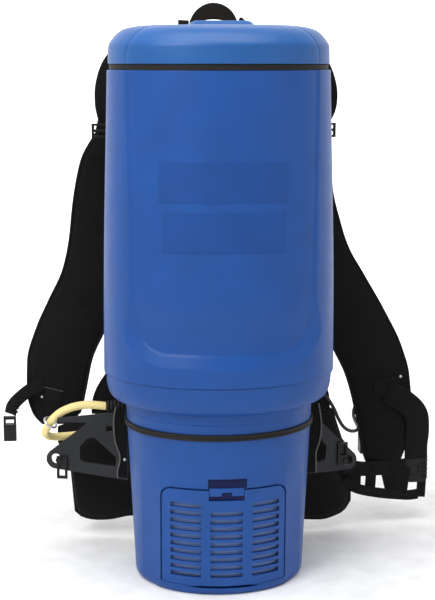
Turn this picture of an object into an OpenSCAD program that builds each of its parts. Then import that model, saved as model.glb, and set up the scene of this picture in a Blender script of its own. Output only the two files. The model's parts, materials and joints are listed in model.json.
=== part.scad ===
// Backpack vacuum cleaner: a bag housing with a lift-off lid, a motor housing
// with an exhaust door below it, and a padded harness behind.
// X to the right, +Y towards the wearer, Z up, origin in the middle of the flat base.

/* [Housing] */
// Half-width of the housing at the waist
body_w = 123.4; // [118:0.2:130]
// Depth of the curved front from the axis
body_f = 100; // [94:1:106]
// Depth of the flat back from the axis
body_r = 75; // [70:1:78]
// Height of the seam between the bag housing and the collar
seam_z = 227; // [220:1:232]
// Height of the rim of the bag housing
rim_z = 545; // [535:1:546]
// Thickness of the moulded walls
wall = 3; // [2.5:0.1:3.5]

/* [Lid] */
// Height of the lower edge of the lid
lid_z = 551; // [550:0.5:554]
// Half-width of the lid
lid_w = 115.2; // [112:0.2:116]
// Radius of the hole that a hose cuff slides into
inlet_r = 19; // [17:0.5:19.5]

/* [Motor housing] */
// Half-width of the motor housing at its top
motor_w = 100; // [96:1:104]
// Height of the joint between the motor housing and the collar
neck_z = 186; // [184:1:190]
// Half-width of the exhaust door
door_w = 65; // [62:1:66]
// Height of the top of the exhaust door
door_top = 115.5; // [112:0.5:118]
// Distance from one louvre to the next
louvre_pitch = 8.45; // [8:0.05:8.6]

/* [Motor] */
// Radius of the fan case
fan_r = 58; // [52:1:60]
// Radius of the motor shaft
shaft_r = 4; // [3.5:0.1:4.5]

/* [Harness] */
// Thickness of the plastic back plate
plate_t = 4; // [3:0.5:5]
// Thickness of the shoulder pads
pad_t = 12; // [9:1:14]
// Width of the shoulder webbing
webbing_w = 38; // [30:1:40]

/* [Cord] */
// Radius of the power lead
cord_r = 4.5; // [4:0.1:5]
// Radius of the switch cable
cable_r = 2; // [1.5:0.1:2.5]

/* [Hidden] */

run_gap = 0.05;      // radial clearance of a running fit
part_gap = 0.4;      // clearance between pieces that move past each other
eps = 0.2;             // thickness of the slices that shells are drawn through
blue = [0.10, 0.27, 0.62];
black = [0.06, 0.06, 0.07];
slate = [0.25, 0.26, 0.29];
lid_f = body_f - 3;
lid_r = body_r - 3;
motor_f = 84;
motor_r = 70;
base_h = 8;
// Lid section: [height above its lower edge, how far the outline has drawn in]
lid_steps = [[0, 0], [17, 0.4], [27, 6], [34, 14], [37.5, 25], [39, 38]];
neck_in = body_w - motor_w;
// Collar section: [height below the seam, how far the outline has drawn in]
collar_steps = [[0, 2], [12, 3], [20, 5], [25, 8], [28, 12], [30, 17.5], [31.5, neck_in]];
hump_z = lid_z + 43;
inlet_y = 8;
inlet_collar_r = inlet_r + 5;
inlet_bottom = hump_z - 38;
lever_x = 70;
lever_y = 76.5;
lever_z = 509;
door_z = 11;
door_t = 3;
hinge_y = -73.5;
hinge_z = 14;
door_pin_r = 1.5;
knuckle_r = 3.2;
tab_x = [-16.5, 20];
shaft_y = -4;
outlet_y = 44;
outlet_z = 177;
gland_y = 50;
gland_z = 192.5;
side_strap_y = 33;
pod_x = 184.5;
pod_y = 151.6;
pod_z = 84;
plate_y = 78;
screw_places = [[-40, 500], [40, 500], [-40, 270], [40, 270]];
wing_y = 64;
wing_t = 4;
// Wings: [root from the axis, angle swept back, angle drooped]
left_pose = [98, 13, 0];
right_pose = [76, 12, 6];
wing_hole_x = 56;
wing_pivot_z = 118;
tip_hole = [83, 106];
loop_x = tip_hole[0] - 2.8;
// Shoulder pads: [height, left edge, right edge, distance behind the axis]
left_pad = [[478, -127, -105, 108], [443, -146, -92, 135], [396, -156, -84, 150],
    [348, -162, -88, 158], [313, -170, -97, 160], [277, -187, -109, 160],
    [242, -203, -123, 157], [207, -213, -139, 152], [170, -214, -147, 148],
    [144, -207, -154, 144], [133, -197, -171, 142]];
right_pad = [[478, 108, 130, 104], [442, 94, 140, 130], [408, 70, 144, 146],
    [368, 79, 155, 155], [335, 89, 167, 160], [304, 105, 185, 160],
    [259, 129, 211, 158], [218, 149, 231, 154], [182, 166, 241, 150],
    [135, 178, 244, 146], [91, 186, 236, 144], [70, 194, 228, 144]];
// Hip pad: [position across, bottom, top, distance behind the axis]
hip = [[-178, 111, 130, 128.5], [-166, 102, 134, 128.5], [-163.5, 90, 136, 128],
    [-162.5, 34, 136.5, 127.5], [-157, 24, 137, 127], [-147, 19.5, 137, 125],
    [-136, 18.5, 138, 122], [-119, 20, 141, 118], [-95, 25, 150, 115], [0, 26, 152, 112],
    [95, 17, 150, 115], [120, 13.5, 150, 118], [136, 12.5, 150, 120], [143, 13.5, 149, 122],
    [149, 15, 134, 124], [156, 17, 111, 126], [165, 23, 98, 129], [169.5, 31, 88, 130]];
// Back pad: [height, half-width, distance behind the axis]
back = [[153, 138, 108], [166, 137, 106], [180, 133, 104], [196, 124, 102], [240, 94, 98],
    [330, 84, 96], [430, 76, 96], [505, 64, 98], [520, 52, 99]];
// Route of the power lead from its outlet to its plug
cord_route = [[-90, 44, 177], [-106, 44, 177], [-122, 44, 177], [-134, 45, 178], [-146, 46, 178],
    [-160, 46, 175.5], [-173, 46.5, 169.5], [-182.5, 48, 160.5], [-188.5, 53, 150.5],
    [-190.5, 61.5, 142.5], [-188, 71, 137], [-182.5, 80.5, 133], [-173, 88.5, 131],
    [-159, 92.5, 131], [-143, 94, 132.5], [-127, 94.5, 133], [-112, 95, 129.5],
    [-100, 95, 120.5], [-91, 95, 107], [-85, 94.5, 91], [-80, 94, 74], [-74, 93.5, 57],
    [-65, 93, 41], [-54, 92.5, 26.5], [-39, 92, 13], [-21, 91, 6.2], [-2, 90, 5.2],
    [14, 90, 8.2], [27, 90, 12.8], [38, 90, 15]];
handle_x = 1;
plug_x = 38;
plug_z = 15;
// Route of the switch cable from its gland to the switch
cable_route = [[88, 50, 192.5], [99, 50, 192.5], [110, 51, 191], [120, 52.5, 186],
    [129, 55.5, 176.5], [136, 59.5, 165], [142, 63, 152], [149, 68, 141], [157, 75, 134.5],
    [164.5, 83.5, 131.5], [170, 94, 130.5], [172.5, 106, 130.5], [173, 118, 131],
    [173, 130, 132.5], [173.5, 142, 136], [176.5, 152, 141.5], [182.5, 158, 145.5],
    [189.5, 159.2, 143.5], [194, 158.9, 136.5], [195.5, 158.6, 128], [195.5, 158.6, 120]];

// Shape helpers
function signed_pow(v, p) = sign(v) * pow(abs(v), p);
// Plan outline: an ellipse in front and a squarer curve behind
function plan(w, f, r) = [for (i = [0:71])
    let (c = cos(i * 5), s = sin(i * 5), p = s < 0 ? 1 : 0.5)
    [w * signed_pow(c, p), (s < 0 ? f : r) * signed_pow(s, p)]];
module slab(w, f, r, z, h = eps)
    translate([0, 0, z]) linear_extrude(h) polygon(plan(w, f, r));

// Point and direction on a smooth curve through the points of a route
function bend(a, b, c, d, t) = 0.5 * (2 * b + (c - a) * t
    + (2 * a - 5 * b + 4 * c - d) * t * t + (3 * b - a - 3 * c + d) * t * t * t);
function clamped(i, n) = max(0, min(n - 1, i));
function smooth(p, steps) = let (n = len(p)) concat(
    [for (i = [0:n - 2]) for (k = [0:steps - 1])
        bend(p[clamped(i - 1, n)], p[i], p[i + 1], p[clamped(i + 2, n)], k / steps)],
    [p[n - 1]]);
function unit(v) = v / norm(v);
function heading(p, i) = let (n = len(p))
    unit(p[clamped(i + 1, n)] - p[clamped(i - 1, n)]);

// Closed solid through rings of points
module skin(rings) {
    m = len(rings[0]);
    n = len(rings);
    points = [for (ring = rings) for (point = ring) point];
    sides = [for (i = [0:n - 2]) for (j = [0:m - 1])
        let (a = i * m + j, b = i * m + (j + 1) % m) each [[a, b, b + m], [a, b + m, a + m]]];
    polyhedron(points, concat([[for (j = [m - 1:-1:0]) j]], sides,
        [[for (j = [0:m - 1]) (n - 1) * m + j]]));
}
// Round cord along a route
module tube(route, r, sides, steps) {
    p = smooth(route, steps);
    skin([for (i = [0:len(p) - 1])
        let (t = heading(p, i), u = unit(cross(t, [0.35, 0.6, 0.72])), v = cross(t, u))
        [for (j = [0:sides - 1])
            p[i] - r * (u * cos(j * 360 / sides) + v * sin(j * 360 / sides))]]);
}
// Flat strap along a route; its flat side faces the direction given
module strap(route, w, t = 2.4, face = [0, 1, 0], steps = 3) {
    p = smooth(route, steps);
    skin([for (i = [0:len(p) - 1])
        let (side = unit(cross(heading(p, i), face)) * w / 2, out = face * t / 2)
        [p[i] - side - out, p[i] + side - out, p[i] + side + out, p[i] - side + out]]);
}
// Upright pad through stations of [height, left edge, right edge, depth]
module upright_pad(stations, t) {
    soft = t * 0.6;
    skin([for (s = stations) [[s[1], s[3], s[0]], [s[1] + soft, s[3] + t / 2, s[0]],
        [s[2] - soft, s[3] + t / 2, s[0]], [s[2], s[3], s[0]],
        [s[2] - soft, s[3] - t / 2, s[0]], [s[1] + soft, s[3] - t / 2, s[0]]]]);
}
module ring(ro, ri, z, h, n = 64)
    translate([0, 0, z]) difference() {
        cylinder(r = ro, h = h, $fn = n);
        translate([0, 0, -1]) cylinder(r = ri, h = h + 2, $fn = n);
    }
module along_x(x, y, z, r, h, n = 32)
    translate([x, y, z]) rotate([0, 90, 0]) cylinder(r = r, h = h, $fn = n);
module along_y(x, y, z, r, h, n = 32)
    translate([x, y, z]) rotate([-90, 0, 0]) cylinder(r = r, h = h, $fn = n);
module both_sides() {
    children();
    mirror([1, 0, 0]) children();
}

// Bag housing, its collar and the motor housing
// The housing bulges a little between its ends: [share of the height, taper]
module bag_form(inset, z0, z1)
    hull() for (s = [[0, 0], [0.25, 0.1], [1, 1]])
        slab(body_w - 7 * s[1] - inset, body_f - 3 * s[1] - inset,
            body_r - 2 * s[1] - inset, z0 + s[0] * (z1 - eps - z0));
module front_panel() {
    panel_x = 92;
    panel_bottom = 260;
    round_r = 30;
    intersection() {
        translate([0, -40, 0]) rotate([90, 0, 0]) linear_extrude(100) hull() {
            for (x = [-1, 1]) translate([x * (panel_x - round_r), panel_bottom + round_r])
                circle(r = round_r, $fn = 48);
            translate([-panel_x - 4, rim_z]) square([2 * panel_x + 8, 5]);
        }
        difference() {
            slab(body_w + 9, body_f + 9, body_r + 9, panel_bottom - 2, rim_z);
            bag_form(2, seam_z, rim_z + 2);
        }
    }
}
module bag_housing() {
    color(blue) difference() {
        union() {
            difference() {
                bag_form(0, seam_z, rim_z);
                bag_form(wall, seam_z - 1, rim_z + 1);
                front_panel();
            }
            for (s = screw_places) along_y(s[0], body_r - 5, s[1], 8, plate_y - body_r + 5);
        }
        for (s = screw_places) along_y(s[0], body_r - 6, s[1], 2.5, 20);
    }
}
// A rounded rim above a straight neck; the ends reach past the seam and the neck by over
module collar_form(inset, over = 0) {
    hull() for (s = collar_steps)
        slab(body_w - s[1] - inset, body_f - 0.65 * s[1] - inset, body_r - 0.21 * s[1] - inset,
            seam_z - s[0] + (s[0] == 0 ? over - eps : inset));
    slab(motor_w - inset, body_f - 0.65 * neck_in - inset, body_r - 0.21 * neck_in - inset,
        neck_z - over, seam_z - 31 - neck_z + over + inset);
}
module lower_collar() {
    color(blue) {
        difference() {
            collar_form(0);
            difference() {
                collar_form(wall, 1);
                slab(body_w + 5, body_f + 5, body_r + 5, 204, 5);
            }
            translate([0, shaft_y, 190]) cylinder(r = 40, h = 30, $fn = 64);
            along_x(86, gland_y, gland_z, 5.25, 30, 48);
        }
    }
}
function motor_inset(z) = 9 * (1 - z / neck_z);
module motor_form(inset, front_inset, z0, z1) {
    hull() for (z = [z0, z1])
        slab(motor_w - motor_inset(z) - inset, motor_f - 0.6 * motor_inset(z) - front_inset,
            motor_r - 0.6 * motor_inset(z) - inset, z - (z == z1 ? eps : 0));
}
module door_area(grow, z0, z1)
    translate([-door_w - grow, -120, z0]) cube([2 * (door_w + grow), 88, z1 - z0]);
module door_axis(r, x, h) along_x(x, hinge_y, hinge_z, r, h);
module motor_housing() {
    color(blue) difference() {
        union() {
            difference() {
                motor_form(0, 0, base_h, neck_z);
                // open above and below a floor that carries the motor
                motor_form(wall, 13, 22, neck_z + 1);
                motor_form(wall, 13, base_h - 1, 18);
                // seat for the door
                difference() {
                    door_area(1, 9, door_top + 1.8);
                    motor_form(door_t + 1.4, door_t + 1.4, base_h, neck_z);
                }
                // window behind the door, and the room for the latch above it
                translate([-door_w + 9, -120, 19]) cube([2 * door_w - 18, 80, door_top - 27]);
                translate([-17.5, -120, door_top]) cube([40.5, 44, 12.5]);
                // trough that the foot of the door turns in, and slots for its knuckles
                translate([-42, -120, base_h - 1]) cube([84, 49, 9]);
                both_sides() translate([6, -90, 9]) cube([5.6, 20.2, 9.6]);
                // outlet for the power lead
                mirror([1, 0, 0]) along_x(80, outlet_y, outlet_z, 6.2, 40);
            }
            hull() {
                door_axis(knuckle_r, -6, 12);
                translate([-6, hinge_y + 2, 9]) cube([12, 5, 10]);
            }
        }
        door_axis(door_pin_r, -20, 40);
    }
}
module base_cover() {
    color(blue) difference() {
        hull() {
            slab(motor_w - 12.5, motor_f - 9, motor_r - 8, 0);
            slab(motor_w - 9.8, motor_f - 6.4, motor_r - 6, 3);
            motor_form(0, 0, base_h - 2 * eps, base_h - eps);
        }
        slab(motor_w - 14, motor_f - 16, motor_r - 12, 3, base_h);
    }
}
// The band runs round the front only, from one side strap to the other
module retaining_band() {
    color(black) difference() {
        slab(motor_w + 2.4, motor_f + 2.4, motor_r + 2.4, 169, 6.5);
        slab(motor_w + 0.2, motor_f + 0.2, motor_r + 0.2, 168, 9);
        translate([-150, side_strap_y, 160]) cube([300, 100, 30]);
    }
}

// Lid and hose inlet
module lid_form(inset)
    hull() for (s = lid_steps)
        slab(lid_w - s[1] - inset, lid_f - 1.1 * s[1] - inset,
            lid_r - 0.6 * s[1] - inset, lid_z + s[0] - (s[0] > 0 ? inset : inset / 10));
module lid() {
    color(blue) difference() {
        union() {
            difference() {
                lid_form(0);
                lid_form(wall);
            }
            hull() {
                translate([-39, -52, lid_z + 36]) cube([78, 112, eps]);
                translate([-27, -38, hump_z - eps]) cube([54, 88, eps]);
            }
            // keepers for the two latches
            both_sides() translate([lever_x - 6, 55, lid_z + 1]) cube([12, lever_y - 59, 5]);
        }
        translate([0, inlet_y, lid_z]) cylinder(r = inlet_collar_r, h = 60, $fn = 96);
        translate([0, inlet_y, hump_z - 2.3]) cylinder(r = inlet_collar_r + 3, h = 5, $fn = 96);
    }
}
module lid_gasket() {
    color(black) difference() {
        slab(lid_w - 1.2, lid_f - 1.2, lid_r - 1.2, rim_z, lid_z - rim_z - part_gap);
        slab(lid_w - 5, lid_f - 5, lid_r - 5, rim_z - 1, 20);
    }
}
module hose_inlet_collar() {
    color(slate) translate([0, inlet_y, 0]) difference() {
        union() {
            translate([0, 0, inlet_bottom])
                cylinder(r = inlet_collar_r - run_gap, h = hump_z - inlet_bottom, $fn = 96);
            translate([0, 0, hump_z - 2]) cylinder(r = inlet_collar_r + 2.6, h = 2, $fn = 96);
            translate([0, 0, lid_z + 32.5]) cylinder(r = inlet_collar_r + 3, h = 3, $fn = 96);
        }
        translate([0, 0, inlet_bottom - 1]) cylinder(r = inlet_r, h = 60, $fn = 96);
    }
}
module inlet_seal()
    color(black) translate([0, inlet_y, 0])
        ring(inlet_collar_r + 2, inlet_r + 1, 541, inlet_bottom - 541.6);
module latch_lever() {
    difference() {
        union() {
            along_x(lever_x - 4.5, lever_y, lever_z, 4, 9);
            translate([lever_x - 4.5, lever_y - 2, lever_z]) cube([9, 4, 48]);
            translate([lever_x - 6, lever_y - 3.4, lid_z + 1]) cube([12, 6.4, 7]);
            translate([lever_x - 6, lever_y + 1, lever_z + 22]) cube([12, 3, 9]);
        }
        along_x(lever_x - 10, lever_y, lever_z, 2 + run_gap, 20);
    }
}
module left_lid_latch() color(black) mirror([1, 0, 0]) latch_lever();
module right_lid_latch() color(black) latch_lever();
module latch_brackets() {
    color(blue) both_sides() difference() {
        union() {
            for (x = [lever_x - 8.5, lever_x + 5]) translate([x, 71, lever_z - 5])
                cube([3.5, lever_y - 67.5, 10]);
            translate([lever_x - 8.5, 70.5, lever_z - 12]) cube([17, 2.5, 7.5]);
        }
        bag_form(0, seam_z, rim_z);
        along_x(lever_x - 12, lever_y, lever_z, 2, 30);
    }
}
module latch_pins()
    color("silver") both_sides() along_x(lever_x - 8.5, lever_y, lever_z, 2, 17);

// Bag and filters
module filter_bag()
    color([0.85, 0.8, 0.68]) hull() {
        slab(100, 78, 56, 240);
        slab(113, 88, 64, 262);
        slab(108, 86, 63, 505);
        slab(74, 60, 46, 536);
    }
module bag_collar()
    color([0.72, 0.6, 0.42]) difference() {
        translate([-60, -48, 537]) cube([120, 100, 4]);
        translate([0, inlet_y, 530]) cylinder(r = inlet_r + 1, h = 20, $fn = 64);
    }
module prefilter_grid()
    color(black) difference() {
        slab(body_w - 2 - wall - 0.3, body_f - 5.5, body_r - 5.5, seam_z - 2, 3);
        for (x = [-4:4]) for (y = [-3:2])
            translate([x * 20 - 8, y * 20 + 2, seam_z - 5]) cube([16, 16, 9]);
    }
module foam_prefilter()
    color([0.2, 0.2, 0.2]) slab(body_w - 13, body_f - 13, body_r - 12, 209.5, 15);

// Motor
module about_shaft() translate([0, shaft_y, 0]) children();
module fan_case()
    color("silver") about_shaft() difference() {
        translate([0, 0, 124]) cylinder(r = fan_r, h = 54, $fn = 96);
        translate([0, 0, 126]) cylinder(r = fan_r - 2, h = 50, $fn = 96);
        translate([0, 0, 170]) cylinder(r = 22, h = 20, $fn = 64);
        translate([0, 0, 120]) cylinder(r = 12, h = 10, $fn = 64);
        for (a = [0:30:330]) rotate(a) translate([45, 0, 120]) cylinder(r = 5, h = 10, $fn = 24);
    }
module motor_frame()
    color(slate) about_shaft() difference() {
        translate([0, 0, 38]) cylinder(r = 46, h = 86, $fn = 96);
        translate([0, 0, 42]) cylinder(r = 42.4, h = 78, $fn = 96);
        translate([0, 0, 30]) cylinder(r = 11, h = 100, $fn = 64);
        for (a = [0:45:315]) rotate(a) translate([42, 0, 70]) cube([16, 16, 34], center = true);
        for (a = [0, 180]) rotate(a) translate([38, -7.4, 50]) cube([12, 14.8, 9.8]);
    }
module motor_field()
    color([0.55, 0.3, 0.12]) about_shaft() difference() {
        translate([0, 0, 64]) cylinder(r = 42.2, h = 38, $fn = 96);
        translate([0, 0, 60]) cylinder(r = 27, h = 50, $fn = 96);
    }
module motor_bearings()
    color("silver") about_shaft() for (z = [38, 119])
        ring(10.9, shaft_r + run_gap, z, 5);
module motor_rotor()
    color([0.6, 0.42, 0.2]) about_shaft() {
        translate([0, 0, 36]) cylinder(r = shaft_r, h = 124, $fn = 64);
        translate([0, 0, 66]) cylinder(r = 25.5, h = 34, $fn = 64);
        translate([0, 0, 48]) cylinder(r = 14, h = 14, $fn = 48);
    }
module impeller()
    color("silver") about_shaft() difference() {
        union() {
            for (z = [136, 162]) translate([0, 0, z]) cylinder(r = fan_r - 6, h = 2, $fn = 96);
            for (a = [0:60:300]) rotate(a) translate([9, -1, 136]) cube([fan_r - 18, 2, 27]);
            translate([0, 0, 132]) cylinder(r = 11, h = 20, $fn = 48);
        }
        translate([0, 0, 120]) cylinder(r = shaft_r, h = 41, $fn = 64);
        translate([0, 0, 161]) cylinder(r = 19, h = 20, $fn = 64);
    }
module motor_gasket()
    color(black) about_shaft() ring(46, 34, 178, 26);
module motor_foot()
    color(black) about_shaft() {
        ring(44, 30, 22, 16);
    }
module carbon_brushes()
    color([0.2, 0.2, 0.2]) about_shaft() for (a = [0, 180]) rotate(a)
        translate([14.3, -7, 50.4]) cube([29, 14, 9]);
module exhaust_filter() {
    color("white") intersection() {
        difference() {
            motor_form(13.6, 13.6, base_h, neck_z);
            motor_form(19, 19, base_h - 1, neck_z + 1);
        }
        translate([-60, -120, 23]) cube([120, 78, 94]);
    }
}

// Exhaust door
module louvres(x, w, n) for (i = [0:n - 1])
    translate([x - w / 2, -120, 20 + i * louvre_pitch]) cube([w, 80, 4.9]);
module exhaust_door() {
    color(blue) difference() {
        union() {
            difference() {
                intersection() {
                    motor_form(0, 0, base_h, neck_z);
                    door_area(0, door_z, door_top);
                }
                motor_form(door_t, door_t, base_h - 1, neck_z + 1);
            }
            for (x = [-11, 6.4]) hull() {
                door_axis(knuckle_r, x, 4.6);
                translate([x, hinge_y - 4, hinge_z - 1]) cube([4.6, 3, 4]);
            }
        }
        door_axis(knuckle_r + 0.4, -6.3, 12.6);
        door_axis(door_pin_r + run_gap, -20, 40);
        louvres(-40.5, 31, 10);
        louvres(1.8, 33.5, 9);
        louvres(43.8, 29, 10);
        translate([tab_x[0] - part_gap, -120, door_top - 11])
            cube([tab_x[1] - tab_x[0] + 2 * part_gap, 80, 20]);
    }
}
module door_latch_tab() {
    color(blue) difference() {
        intersection() {
            motor_form(0.2, 0.2, base_h, neck_z);
            translate([tab_x[0], -120, door_top - 6])
                cube([tab_x[1] - tab_x[0], 60, 8.5]);
        }
        motor_form(door_t, door_t, base_h - 1, neck_z + 1);
        // finger notch
        translate([-3, -90, door_top - 7]) cube([10, 20, 5]);
    }
}
module door_hinge_pin() color("silver") door_axis(door_pin_r, -11, 22);

// Power lead and switch cable
module cord_strain_relief() {
    color(black) mirror([1, 0, 0]) difference() {
        union() {
            along_x(86, outlet_y, outlet_z, 6.2, 8);
            along_x(94, outlet_y, outlet_z, 8, 4);
            translate([98, outlet_y, outlet_z]) rotate([0, 90, 0])
                cylinder(r1 = 7.6, r2 = cord_r + 1.2, h = 24, $fn = 48);
        }
        along_x(80, outlet_y, outlet_z, cord_r, 60);
    }
}
module power_cord() color([0.85, 0.78, 0.35]) tube(cord_route, cord_r, 12, 4);
module cord_plug()
    color(black) translate([plug_x, 90, plug_z]) rotate([0, 90, 0]) {
        cylinder(r = 8, h = 18, $fn = 48);
        translate([0, 0, 18]) cylinder(r1 = 9, r2 = 15, h = 6, $fn = 48);
        translate([0, 0, 24]) cylinder(r = 15, h = 16, $fn = 48);
    }
module plug_blades()
    color("silver") translate([plug_x + 40, 90, plug_z]) {
        for (z = [-6.4, 6.4]) translate([0, -3.2, z - 0.8]) cube([18, 6.4, 1.6]);
        translate([0, 8, 0]) rotate([0, 90, 0]) cylinder(r = 2.4, h = 20, $fn = 24);
    }
module cord_retainer_strap()
    color(black) {
        strap([[-97, 39, 164], [-112, 39, 164], [-140, 39, 164], [-176, 40, 163]], 12);
    }
module cord_ring()
    color("silver") translate([-184, 49, 158]) rotate([0, 40, -30])
        rotate_extrude($fn = 48) translate([7.5, 0]) circle(r = 1.3, $fn = 16);
module cable_gland()
    color(black) difference() {
        union() {
            along_x(86, gland_y, gland_z, 5.2, 11);
            along_x(96.4, gland_y, gland_z, 6.6, 3);
        }
        along_x(80, gland_y, gland_z, cable_r, 30);
    }
module switch_cable() color(black) tube(cable_route, cable_r, 8, 5);
module switch_pod()
    color(black) difference() {
        translate([pod_x, pod_y, pod_z]) cube([16, 18, 36]);
        translate([pod_x + 7.9, pod_y + 3, pod_z + 7]) cube([9, 12, 22]);
        along_y(pod_x + 10.5, pod_y + 1, pod_z + 18, 1 + run_gap, 16);
    }
module switch_rocker()
    color([0.5, 0.06, 0.05]) {
        translate([pod_x + 9.2, pod_y + 3.5, pod_z + 8.4]) cube([7.6, 11, 19.2]);
        along_y(pod_x + 10.5, pod_y + 1.2, pod_z + 18, 1, 15.6);
    }

// Harness frame
module back_plate() {
    color(slate) difference() {
        translate([0, plate_y + plate_t, 0]) rotate([90, 0, 0]) linear_extrude(plate_t)
            polygon([[-52, 586], [52, 586], [55, 500], [76, 440], [76, 116],
                [-76, 116], [-76, 440], [-55, 500]]);
        for (s = screw_places) along_y(s[0], plate_y - 1, s[1], 2.75, 10);
        for (x = [-wing_hole_x, wing_hole_x]) for (z = [126, 146])
            along_y(x, plate_y - 1, z, 2.75, 10);
        translate([-30, plate_y - 1, 330]) cube([60, 10, 120]);
    }
}
module plate_screws()
    color("silver") for (s = screw_places) {
        along_y(s[0], 71, s[1], 2.4, 11.1);
        along_y(s[0], plate_y + plate_t, s[1], 5, 2.6);
    }
module wing_shape() difference() {
    hull() {
        polygon([[0, 150], [47, 149], [0, 84.5]]);
        translate(tip_hole) circle(r = 11.5, $fn = 48);
    }
    translate(tip_hole) circle(r = 6.3, $fn = 32);
    polygon([[13, 111], [38, 133], [46, 132], [55, 122], [55, 106], [50, 103], [14, 100]]);
    translate([17, 140]) square([7, 7]);
}
module wing(pose) {
    translate([pose[0], wing_y + wing_t, 0]) rotate([90, 0, pose[1]]) linear_extrude(wing_t)
        translate([0, wing_pivot_z]) rotate(-pose[2]) translate([0, -wing_pivot_z]) wing_shape();
    // root that joins the back plate
    hull() {
        translate([pose[0], wing_y, 90]) cube([2, wing_t, 60]);
        translate([pose[0] - 14, plate_y - wing_t, 118]) cube([3, wing_t, 36]);
    }
    translate([wing_hole_x - 8, plate_y - wing_t, 118])
        cube([pose[0] - 13 - wing_hole_x + 8, wing_t, 36]);
}
module wing_bores(side)
    for (z = [126, 146]) along_y(side * wing_hole_x, 60, z, 2.75, 30);
module left_wing() {
    color(slate) difference() {
        mirror([1, 0, 0]) wing(left_pose);
        wing_bores(-1);
    }
}
module right_wing() {
    color(slate) difference() {
        wing(right_pose);
        wing_bores(1);
    }
}
module wing_screws()
    color("silver") for (x = [-wing_hole_x, wing_hole_x]) for (z = [126, 146]) {
        along_y(x, plate_y - wing_t, z, 2.7, wing_t + plate_t);
        along_y(x, plate_y + plate_t, z, 5, 2.6);
    }
// Link that hangs in the hole of a wing, against its inner side
module tip_loop() {
    difference() {
        translate([-9.5, -3, -22]) cube([12, 3, 26]);
        translate([-7, -4, -19]) cube([7, 5, 12]);
    }
    along_y(0, -4, 0, 2.5, wing_t + 5.4);
    along_y(0, wing_t + 0.8, 0, 3.2, 1.6);
    along_y(0, -4.4, 0, 3.2, 1.4);
}
module at_tip(pose)
    let (drop = wing_pivot_z - tip_hole[1], a = pose[2])
        translate([pose[0], wing_y, 0]) rotate([0, 0, pose[1]])
            translate([loop_x * cos(a) - drop * sin(a), -part_gap,
                wing_pivot_z - drop * cos(a) - loop_x * sin(a)]) children();
module left_wing_loop()
    color(black) mirror([1, 0, 0]) at_tip(left_pose) tip_loop();
// The right link stands up against the webbing above it
module right_wing_loop()
    color(black) at_tip(right_pose) mirror([0, 0, 1]) tip_loop();

// Pads and webbing
module back_pad()
    color(black) upright_pad([for (s = back) [s[0], -s[1], s[1], s[2]]], 10);
module hip_pad()
    color(black) skin([for (s = hip) let (y = s[3] + 6)
        [[s[0], y - 8, s[1] + 8], [s[0], y, s[1]], [s[0], y + 8, s[1] + 8],
        [s[0], y + 8, s[2] - 8], [s[0], y, s[2]], [s[0], y - 8, s[2] - 8]]]);
module left_shoulder_pad() color(black) upright_pad(left_pad, pad_t);
module right_shoulder_pad() color(black) upright_pad(right_pad, pad_t);
module left_upper_webbing()
    color(black) strap([[-34, 88, 566], [-60, 88, 567], [-84, 88.5, 562], [-102, 90, 548],
        [-110, 92, 528], [-111, 94, 508], [-108, 98, 490], [-112, 107, 472]], webbing_w);
module right_upper_webbing()
    color(black) strap([[34, 88, 566], [60, 88, 567], [88, 88.5, 562], [110, 90, 548],
        [120, 92, 527], [121, 94, 507], [114, 98, 489], [117, 107, 472]], webbing_w);
module strap_adjusters()
    color(slate) for (x = [-112, 117]) translate([x, 96.4, 470]) difference() {
        translate([-22, -4.5, 0]) cube([44, 3, 16]);
        for (z = [2.6, 9.6]) translate([-19, -6, z]) cube([38, 6, 4]);
    }
module side_straps() {
    color(black) {
        translate([-113, side_strap_y, 92]) cube([13.5, 2.4, 86]);
        translate([101, side_strap_y, 98]) cube([14, 2.4, 80]);
    }
}
// Crescent grip between two folded webbing ends
module carry_handle()
    color([0.12, 0.1, 0.09]) translate([handle_x, 86.4, 0]) rotate([90, 0, 0]) linear_extrude(2.8)
        union() {
            polygon(concat(
                [for (a = [0:9:180]) [27.5 * cos(a), 588 + 29 * sin(a)]], [[-27.5, 570], [-23.5, 570]],
                [for (a = [180:-9:0]) [23.5 * cos(a), 588 + 11 * sin(a)]], [[23.5, 570], [27.5, 570]]));
            polygon([[-39, 572], [-27, 572], [-27, 598], [-39, 598.5]]);
            polygon([[27, 572], [38, 572], [38, 592], [30, 602], [26.5, 599]]);
        }
// Waist belt, its cross straps and the strap that comes down from the right pad
module lower_webbing() {
    color(black) {
        strap([[160, 130, 58], [172, 132, 49.5], [185, 134, 43.8], [209, 139, 37.8],
            [228, 143, 34.5], [244, 146, 32.3], [256, 148, 33]], 12.5);
        strap([[160, 129.4, 76], [184, 135.4, 70], [205, 139.6, 69], [240, 145.4, 70]], 18);
        strap([[214, 141.6, 163], [233, 139.4, 153], [249, 139, 137], [252, 140, 116],
            [251, 142.3, 96], [252, 145, 78]], 28);
        strap([[177, 133.4, 72], [176, 133.2, 44]], 12);
        strap([[196, 137.3, 70], [194, 136.6, 40]], 13);
        strap([[217, 141.7, 68], [225, 142.5, 35]], 19);
        strap([[236, 144.6, 68], [231, 143.9, 34]], 20);
        strap([[259.5, 148.6, 29], [260.5, 147.8, 56]], 11);
    }
}
module waist_buckle()
    color(black) difference() {
        hull() {
            translate([240, 144, 54]) cube([26, 7.5, 24]);
            translate([244, 144, 49]) cube([18, 7.5, 34]);
        }
        for (z = [56, 61.5, 67, 72.5]) translate([258, 143, z]) cube([10, 2.2, 2.6]);
        translate([243, 143, 58]) cube([12, 2, 14]);
    }
module sternum_webbing()
    color(black) strap([[-196, 141, 180], [-209, 137, 176], [-221, 133, 168],
        [-231, 131, 158], [-234, 131, 148]], 15, 2, [0.45, 0.893, 0]);
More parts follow.
